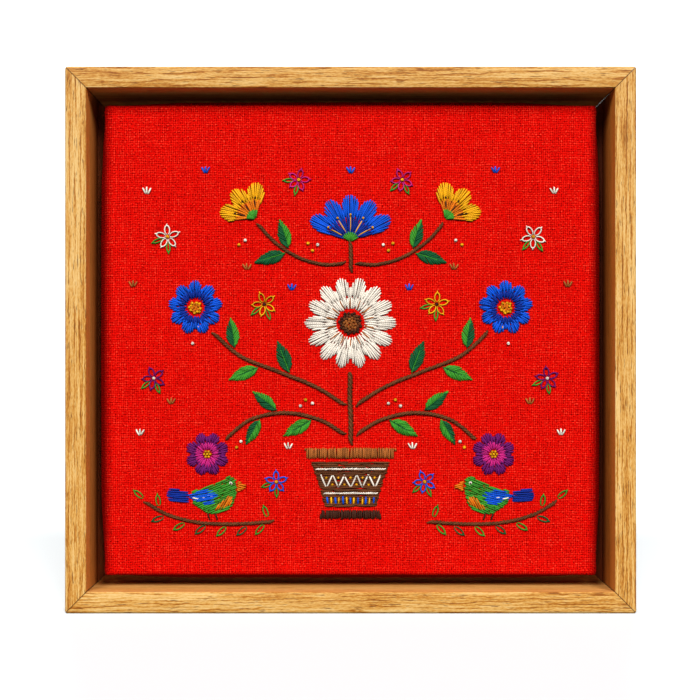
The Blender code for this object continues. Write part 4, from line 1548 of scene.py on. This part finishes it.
    @staticmethod
    def pattern(work: Needlework) -> None:
        """What lies over the pot's body: two ropes, a zigzag with knots in it and a row of bars."""
        for level, half in ((-74.6, 20.6), (-88.6, 16.2)):
            work.rope([(-half, level), (0, level), (half, level)], 1.5, Thread.CREAM, 0.7)
        turns = columns(np.linspace(-17.5, 17.5, 11), np.where(np.arange(11) % 2, -85.4, -77.8))
        work.stitches(turns[:-1], turns[1:], Thread.CREAM, 1.1, lift=0.45)
        inner = columns(np.linspace(-14, 14, 9), np.where(np.arange(9) % 2, -83.6, -79.6))
        work.knots(inner, Thread.YELLOW, 0.5, 0.3, 0.7)
        bars = np.linspace(-13.5, 13.5, 13)
        upper = columns(bars, -90.6)
        lower = columns(bars * 0.97, -95.0)
        for first, thread in enumerate((Thread.BLUE, Thread.YELLOW)):
            work.stitches(upper[first::2], lower[first::2], thread, 1.2, lift=0.4)

    def leaf(self, work: Needlework, leaf: Leaf) -> None:
        """A leaf in fishbone stitch: slanting stitches from both edges to the vein, then the vein."""
        base, direction = leaf.root(next(stem for stem in self.stems if stem.name == leaf.stem))
        across = quarter_turn(direction)
        other = Thread.GREEN if leaf.thread is Thread.DARK_GREEN else Thread.DARK_GREEN
        edge = np.linspace(0.16, 0.97, round(leaf.length / leaf.pitch))
        for flank, thread in ((1, leaf.thread), (-1, leaf.thread if leaf.width > 7.5 else other)):
            vein = np.maximum(edge - leaf.lead, 0.01 + 0.02 * flank)
            outer = base + direction * (leaf.length * edge)[:, None]
            outer = outer + across * (flank * leaf.half_width(edge))[:, None]
            inner = base + direction * (leaf.length * vein)[:, None] - across * 0.25 * flank
            work.stitches(outer, inner, thread, 1.25, loose=0.12)
        tip = base + direction * leaf.length
        tip_start = base + direction * leaf.length * leaf.tip_start
        work.stitches(tip_start, tip, leaf.thread, 1.1, lift=0.1, loose=0.05)
        way = np.linspace(-0.05, 0.8, 9)
        work.rope(base + direction * (leaf.length * way)[:, None], 1.0, other, 0.5)

    def blossom(self, work: Needlework, blossom: Blossom) -> None:
        """A flower in long and short satin: an inner and an outer round of rays that run into each other."""
        centre = np.array(blossom.middle)
        near, far = blossom.zones
        width = self.stitch_width * self.yarn
        number, swell, edge, way = blossom.rays(0.35 * near + 0.65 * far, self.yarn)
        start = near + np.where(number % 2, 0.25, 0.0) * (far - near)
        end = np.minimum(far + 0.8 + work.rng.uniform(-1, 1, len(number)), edge - 0.6)
        starts, ends = centre + way * start[:, None], centre + way * end[:, None]
        work.stitches(starts, ends, blossom.inner, width, lift=0.12 * swell)
        number, swell, edge, way = blossom.rays(0.3 * far + 0.7 * blossom.radius * 0.9, self.yarn)
        start = np.minimum(far - 0.4 + np.array([-1.6, 0.9, -0.3, 1.6])[number % 4], edge - 2.0)
        starts, ends = centre + way * start[:, None], centre + way * (edge - 0.35)[:, None]
        work.stitches(starts, ends, blossom.outer, width, lift=0.3 * swell)
        if blossom.name == "daisy":
            between = blossom.ray(np.arange(blossom.petals) / blossom.petals)
            work.stitches(centre + between * 8.6, centre + between * 14.5, Thread.TAN, 0.95, lift=0.4)
        if blossom.name == "aster":
            ring = 1.7 * ray(np.arange(6) * np.pi / 3)
            work.knots(centre + np.concatenate([[(0.0, 0.0)], ring]), Thread.YELLOW, 0.5, 0.25, 0.75)
        if blossom.spread < 360:
            self.throat(work, blossom)

    @staticmethod
    def throat(work: Needlework, blossom: Blossom) -> None:
        """The inside of a fan flower: filaments with a knot at each tip, and a green cup at its foot."""
        centre = np.array(blossom.middle)
        thread = Thread.YELLOW if blossom.outer is Thread.BLUE else Thread.DARK_BROWN
        way = blossom.ray((np.arange(blossom.petals) + 0.5) / blossom.petals)
        long = 0.52 * blossom.radius
        work.stitches(centre + way * 4, centre + way * long, thread, 0.8, lift=0.42, loose=0.1)
        work.knots(centre + way * (long + 0.8), thread, 0.45, 0.4, 0.7)
        cup = blossom.ray(np.linspace(0.06, 0.94, 9))
        foot = centre - blossom.ray(np.array([0.5])) * 0.6 + cup * 0.5
        work.stitches(foot, centre + cup * 5.2, Thread.GREEN, 1.25, lift=0.35, loose=0.08)

    def eyes(self) -> None:
        """The flowers' middles, packed with wound knots in rings that widen as the root of their number."""
        for name, place, radius, threads in (
            ("daisy_eye", (0, 10), 7.4, (Thread.DARK_BROWN, Thread.BROWN, Thread.TAN)),
            ("cornflower_eye_left", (-90, 19), 4.4, (Thread.YELLOW, Thread.ORANGE)),
            ("cornflower_eye_right", (90, 19), 4.4, (Thread.YELLOW, Thread.ORANGE)),
        ):
            for work in self.sides(name, False):
                count = round((radius / self.eye_pitch) ** 2)
                number = np.arange(count)
                reach = (radius - 0.9) * np.sqrt((number + 0.4) / count)
                places = np.array(place) + reach[:, None] * ray(number * math.pi * (3 - math.sqrt(5)))
                share = (number + 0.5) / count * len(threads) + work.rng.uniform(-0.4, 0.4, count)
                chosen = np.minimum(share.clip(0), len(threads) - 0.01).astype(int)
                for i, thread in enumerate(threads[::-1]):
                    work.knots(places[chosen == i], thread, 0.6)

    def bird(self, work: Needlework) -> None:
        """A bird in laid satin, with beak, tail, breast and wing in other cottons, an eye and legs."""
        middle = np.array(self.bird_middle, float)
        line = smooth_path(self.bird_outline, 6, closed_path=True)
        beak = line[:, 0] < self.beak_end
        tail = line[:, 0] > self.tail_start
        for points, angle, thread, longest, lift in (
            (line[~tail & ~beak] * 0.98, -22, Thread.GREEN, 9.0, 0.0),
            (line[beak] * 0.985, 14, Thread.ORANGE, 9.0, 0.05),
            (line[tail], 4, Thread.DEEP_BLUE, 16.0, 0.0),
            (self.bird_breast, -60, Thread.ORANGE, 9.0, 0.35),
            (self.bird_wing, -10, Thread.BLUE, 16.0, 0.4),
        ):
            work.hatch(middle + np.asarray(points, float), angle, thread, self.yarn, longest, 0.25, lift)
        feather = middle + np.array([(-0.5, 0.6), (3.4, -0.4), (7.4, -1.0)])
        work.stitches(feather, feather + (4.4, 0.9), Thread.CREAM, 0.85, lift=0.62, loose=0.06)
        eye = middle + (-10.6, 8.2)
        work.knots(eye, Thread.CREAM, 0.85, 0.1, 0.75)
        work.knots(eye, Thread.DARK_BROWN, 0.28, 0.55, 0.6)
        hip = middle + np.array([(-1.5, -8.8), (2.8, -8.6)])
        toe = middle + np.array([(-3.0, -13.2), (1.4, -13.4)])
        work.stitches(hip, toe, Thread.DARK_BROWN, 0.95, loose=0.05)

    def reverse(self) -> None:
        """The work's back inside the stretcher: from a stitch's end the yarn runs to the next start."""
        half_u = -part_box("stretcher_left")[1].x / MM - self.reverse_gap
        half_v = (PANEL_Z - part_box("stretcher_bottom")[1].z) / MM - self.reverse_gap
        moves = [move for work in self.works for move in work.moves]
        for back in self.sides("reverse", covers=False):
            for starts, ends, thread in moves:
                both = np.abs(np.stack([starts, ends]))
                inside = (both[..., 0].max(0) < half_u) & (both[..., 1].max(0) < half_v)
                near = np.linalg.norm(ends - starts, axis=1) < self.longest_run
                here = inside & near & ((starts[:, 0] > 0) == (back.side > 0))
                back.run(starts[here], ends[here], thread)

    def small_flowers(self) -> None:
        """Small flowers and berries that stand free on the linen."""
        for name, petals, heart, place, radius in (
            ("cream_flower", Thread.CREAM, Thread.YELLOW, (106, 60), 6.6),
            ("purple_flower", Thread.MAGENTA, Thread.YELLOW, (30, 93), 6.0),
            ("yellow_flower", Thread.YELLOW, Thread.DARK_BROWN, (50, 21), 6.6),
            ("magenta_flower", Thread.PURPLE, Thread.CREAM, (114, -22), 6.2),
            ("blue_flower", Thread.BLUE, Thread.YELLOW, (43, -82), 6.0),
        ):
            for work in self.sides(name, covers=False):
                first = work.rng.uniform(0, 1.2)
                leaves = [first + 0.63 + 2.51, first + 0.63 + 3.77]
                work.loops(place, first + all_round(5), 1.3, radius, 2.9, petals)
                work.loops(place, leaves, 3.2, radius + 2.4, 1.9, Thread.GREEN)
                work.knots(place, heart, 0.7)
        berries = (
            (22, -36.5), (26, -34.5), (29, -38), (88, 7.6), (91.5, -1.8), (66, -62),
            (63.5, -58.6), (22, 52), (19, 55.4), (24.6, 56.2), (61, 58), (64.6, 55.4),
        )
        for work in self.sides("berries", covers=False):
            work.knots(berries[::2], Thread.CREAM, 0.65, 0.0, 0.85)
            work.knots(berries[1::2], Thread.YELLOW, 0.65, 0.0, 0.85)

    def small_twigs(self) -> None:
        """The leaves on the birds' twigs and the tufts of three stitches on the free linen."""
        leaves = (
            (50, -106.8, -48, 7.0, 2.6), (60, -108, -40, 7.0, 2.6), (72, -108, -44, 7.0, 2.6),
            (84, -107.4, -38, 7.0, 2.6), (96, -106.0, -30, 7.0, 2.6), (108, -102.2, -20, 7.0, 2.6),
            (48, -102.6, 70, 6.6, 2.5), (111, -96.4, 82, 6.6, 2.5), (120, -91.6, 40, 6.6, 2.5),
        )
        greens = [Thread.GREEN, Thread.DARK_GREEN] * 3 + [Thread.GREEN] * 3
        for work in self.sides("twig_leaves", covers=False):
            for (u, v, degrees, end, wide), thread in zip(leaves, greens):
                turn = np.radians(degrees)
                work.loops((u, v), [turn if work.side > 0 else math.pi - turn], 0.4, end, wide, thread)
        tufts = (
            (126, 30), (118, 84), (84, 96), (60, 40), (122, -56), (34, 28), (104, -38), (36, -64), (0, 96),
        )
        for work in self.sides("tufts", covers=False):
            for place, thread in zip(tufts, [Thread.TAN, Thread.CREAM, Thread.BLUE] * 3):
                if work.side < 0 and place[0] == 0:
                    continue
                for turn in (-0.5, 0.0, 0.5):
                    out = np.array([math.sin(turn), math.cos(turn)])
                    work.stitches(place + out * 1.2, place + out * 4.8, thread, 1.1, loose=0.1)


@dataclass
class Staples:
    """Flat-wire staples that hold the turned linen to the stretcher's back."""

    crown: float = 10 * MM
    leg: float = 0.8 * MM
    shoulder: float = 0.5 * MM
    half_width: float = 0.6 * MM
    half_thick: float = 0.28 * MM
    chamfer: float = 0.12 * MM
    inset: float = 18.5 * MM
    spacing: float = 38 * MM
    stray: float = 0.8 * MM
    askew: float = 0.07
    stand: float = 0.1 * MM
    per_side: int = 5
    seed: int = 5
    colour: Colour = (176, 172, 164)

    def wire(self) -> Array:
        """One staple as rings of (along, across, out): a chamfered section taken round two shoulders."""
        half, r = self.crown / 2, self.shoulder
        path = np.concatenate([
            [(-half, -self.leg)],
            arc((-half + r, -r + self.half_thick), r, 180, 90, 4),
            arc((half - r, -r + self.half_thick), r, 90, 0, 4),
            [(half, -self.leg)],
        ])
        out = quarter_turn(unit(np.gradient(path, axis=0)))
        w, t, c = self.half_width, self.half_thick, self.chamfer
        upper = [(w, t - c), (w - c, t), (c - w, t), (-w, t - c)]
        section = np.array(upper + [(-across, -out_of) for across, out_of in upper])
        along_out = path[:, None] + out[:, None] * section[None, :, 1:]
        return columns(along_out[..., 0], section[:, 0], along_out[..., 1])

    def build(self) -> None:
        """Sets a row of staples along each side, each a little askew."""
        rng = np.random.default_rng(self.seed)
        wire = self.wire()
        reach = LINEN_HIGH.x - self.inset
        rise = LINEN_HIGH.z - PANEL_Z - self.inset
        run = (np.arange(self.per_side) - (self.per_side - 1) / 2) * self.spacing
        places, turns = [], []
        for across, up in WAYS.values():
            row = columns(run, up * rise) if up else columns(across * reach, run)
            places.append(row + rng.normal(0, self.stray, (len(run), 2)))
            turns.append((0 if up else math.pi / 2) + rng.normal(0, self.askew, len(run)))
        place, turn = np.concatenate(places), np.concatenate(turns)
        cos, sin = np.cos(turn)[:, None, None], np.sin(turn)[:, None, None]
        x = place[:, None, None, 0] + wire[None, ..., 0] * cos - wire[None, ..., 1] * sin
        z = place[:, None, None, 1] + wire[None, ..., 0] * sin + wire[None, ..., 1] * cos
        y = wire[None, ..., 2] + LINEN_BACK_Y + self.stand
        rings, sides = wire.shape[:2]
        base = np.arange(len(place))[:, None, None] * rings * sides
        quads = (base + bridge(rings, sides)[None]).reshape(-1, 4)
        caps = (base + end_faces(rings, sides)[None]).reshape(-1, sides)
        piece = mesh_piece("staples", columns(x, y, PANEL_Z + z).reshape(-1, 3), [quads, caps])
        outward_faces(piece)
        piece.data.set_sharp_from_angle(angle=SHARP_ANGLE)
        piece.data.materials.append(MetalFinish("staple_steel", self.colour).material())
        report(piece, "steel")


@dataclass
class Stretcher:
    """The pine bars inside the linen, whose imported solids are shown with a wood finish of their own."""

    shades: tuple[Colour, ...] = (
        (240, 212, 164), (236, 204, 152), (230, 194, 138), (222, 180, 120), (210, 162, 100), (194, 140, 80),
    )
    pit: Colour = (170, 116, 62)
    ring: float = 3.6 * MM
    boards: tuple[Board, ...] = (
        Board("bottom", (0.02, 0.03), 0.4),
        Board("top", (0.30, -0.04), 2.2),
        Board("left", (-0.15, 0.05), 3.6),
        Board("right", (0.16, -0.03), 5.1),
    )

    def dress(self) -> None:
        """Gives each bar its own length of board."""
        corner = (LINEN_HIGH.x - LINEN_LOW.x - LINEN_HIGH.z + LINEN_LOW.z) / 2
        for board in self.boards:
            finish = WoodFinish(
                f"pine_{board.side}", board.grain, self.shades, self.pit, board.heart, corner,
                ring=self.ring, offset=board.offset, pores=0.2, roughness=0.6,
            )
            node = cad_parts[f"stretcher_{board.side}"]
            node.data.materials.clear()
            node.data.materials.append(finish.material())
            LOG.info("stretcher_%s: packed solid in pine", board.side)


@dataclass
class Studio:
    """A pale sweep, two soft key lights in front, one behind, and faint even light all round.

    Each light has a name, a turn from straight in front, a rise above level and a strength.
    """

    half_width: float = 4.0
    front: float = -3.0
    back: float = 1.6
    curve: float = 0.9
    height: float = 3.2
    paper: Colour = (234, 238, 239)
    ambient: float = 0.06
    lights: tuple[tuple[str, float, float, float], ...] = (
        ("key_left", -28.0, 35.0, 2.86),
        ("key_right", 28.0, 35.0, 3.02),
        ("back_light", 180.0, 42.0, 2.4),
    )
    light_spread: float = 26.0
    eye: tuple[float, float, float] = (-0.0058, -0.679, 0.1418)
    lens: float = 59.5
    shift: Point = (0.0136, 0.0212)
    clip: Point = (0.05, 50)

    def sweep(self) -> None:
        """The backdrop of matt white paper: a level line, a quarter circle and an upright line.

        It throws no light back at the picture and doesn't shade the back light.
        """
        bend = arc((self.back - self.curve, self.curve), self.curve, -90, 0, 24)
        profile = np.concatenate([[(self.front, 0.0)], bend, [(self.back, self.height)]])
        xs = np.linspace(-self.half_width, self.half_width, 5)
        x = np.repeat(xs, len(profile))
        y, z = np.tile(profile, (len(xs), 1)).T
        low = (np.arange(len(xs) - 1)[:, None] * len(profile) + np.arange(len(profile) - 1)).reshape(-1)
        quads = columns(low, low + len(profile), low + len(profile) + 1, low + 1)
        sweep = mesh_piece("studio_sweep", columns(x, y, z), [quads])
        paper = {"Base Color": linear(self.paper), "Roughness": 0.9, "Specular IOR Level": 0.0}
        sweep.data.materials.append(Graph("studio_paper").dressed(paper))
        sweep.visible_diffuse = False
        sweep.visible_shadow = False

    def build(self) -> None:
        """Makes the sweep, the lights and the camera."""
        self.sweep()
        scene = bpy.context.scene
        scene.view_settings.view_transform = "Standard"
        world = bpy.data.worlds.new("studio_air")
        world.use_nodes = True
        air = world.node_tree.nodes["Background"]
        air.inputs["Color"].default_value = (1.0, 1.0, 1.0, 1.0)
        air.inputs["Strength"].default_value = self.ambient
        scene.world = world
        for name, turn, rise, strength in self.lights:
            light = bpy.data.objects.new(name, bpy.data.lights.new(name, "SUN"))
            light.data.energy = strength
            light.data.angle = math.radians(self.light_spread)
            light.rotation_euler = (math.radians(90 - rise), 0, math.radians(turn))
            scene.collection.objects.link(light)
        camera = bpy.data.objects.new("camera", bpy.data.cameras.new("camera"))
        camera.location = self.eye
        camera.rotation_euler = (math.pi / 2, 0, 0)
        camera.data.lens = self.lens
        camera.data.shift_x, camera.data.shift_y = self.shift
        camera.data.clip_start, camera.data.clip_end = self.clip
        scene.collection.objects.link(camera)
        scene.camera = camera


def main() -> None:
    """Builds the picture from the frame inwards and reports each piece."""
    logging.basicConfig(level=logging.INFO, format="%(message)s")
    Studio().build()
    OakFrame().build()
    Stretcher().dress()
    SCREWS.build()
    Linen().build()
    Staples().build()
    Embroidery().build()


if __name__ == "__main__":
    main()
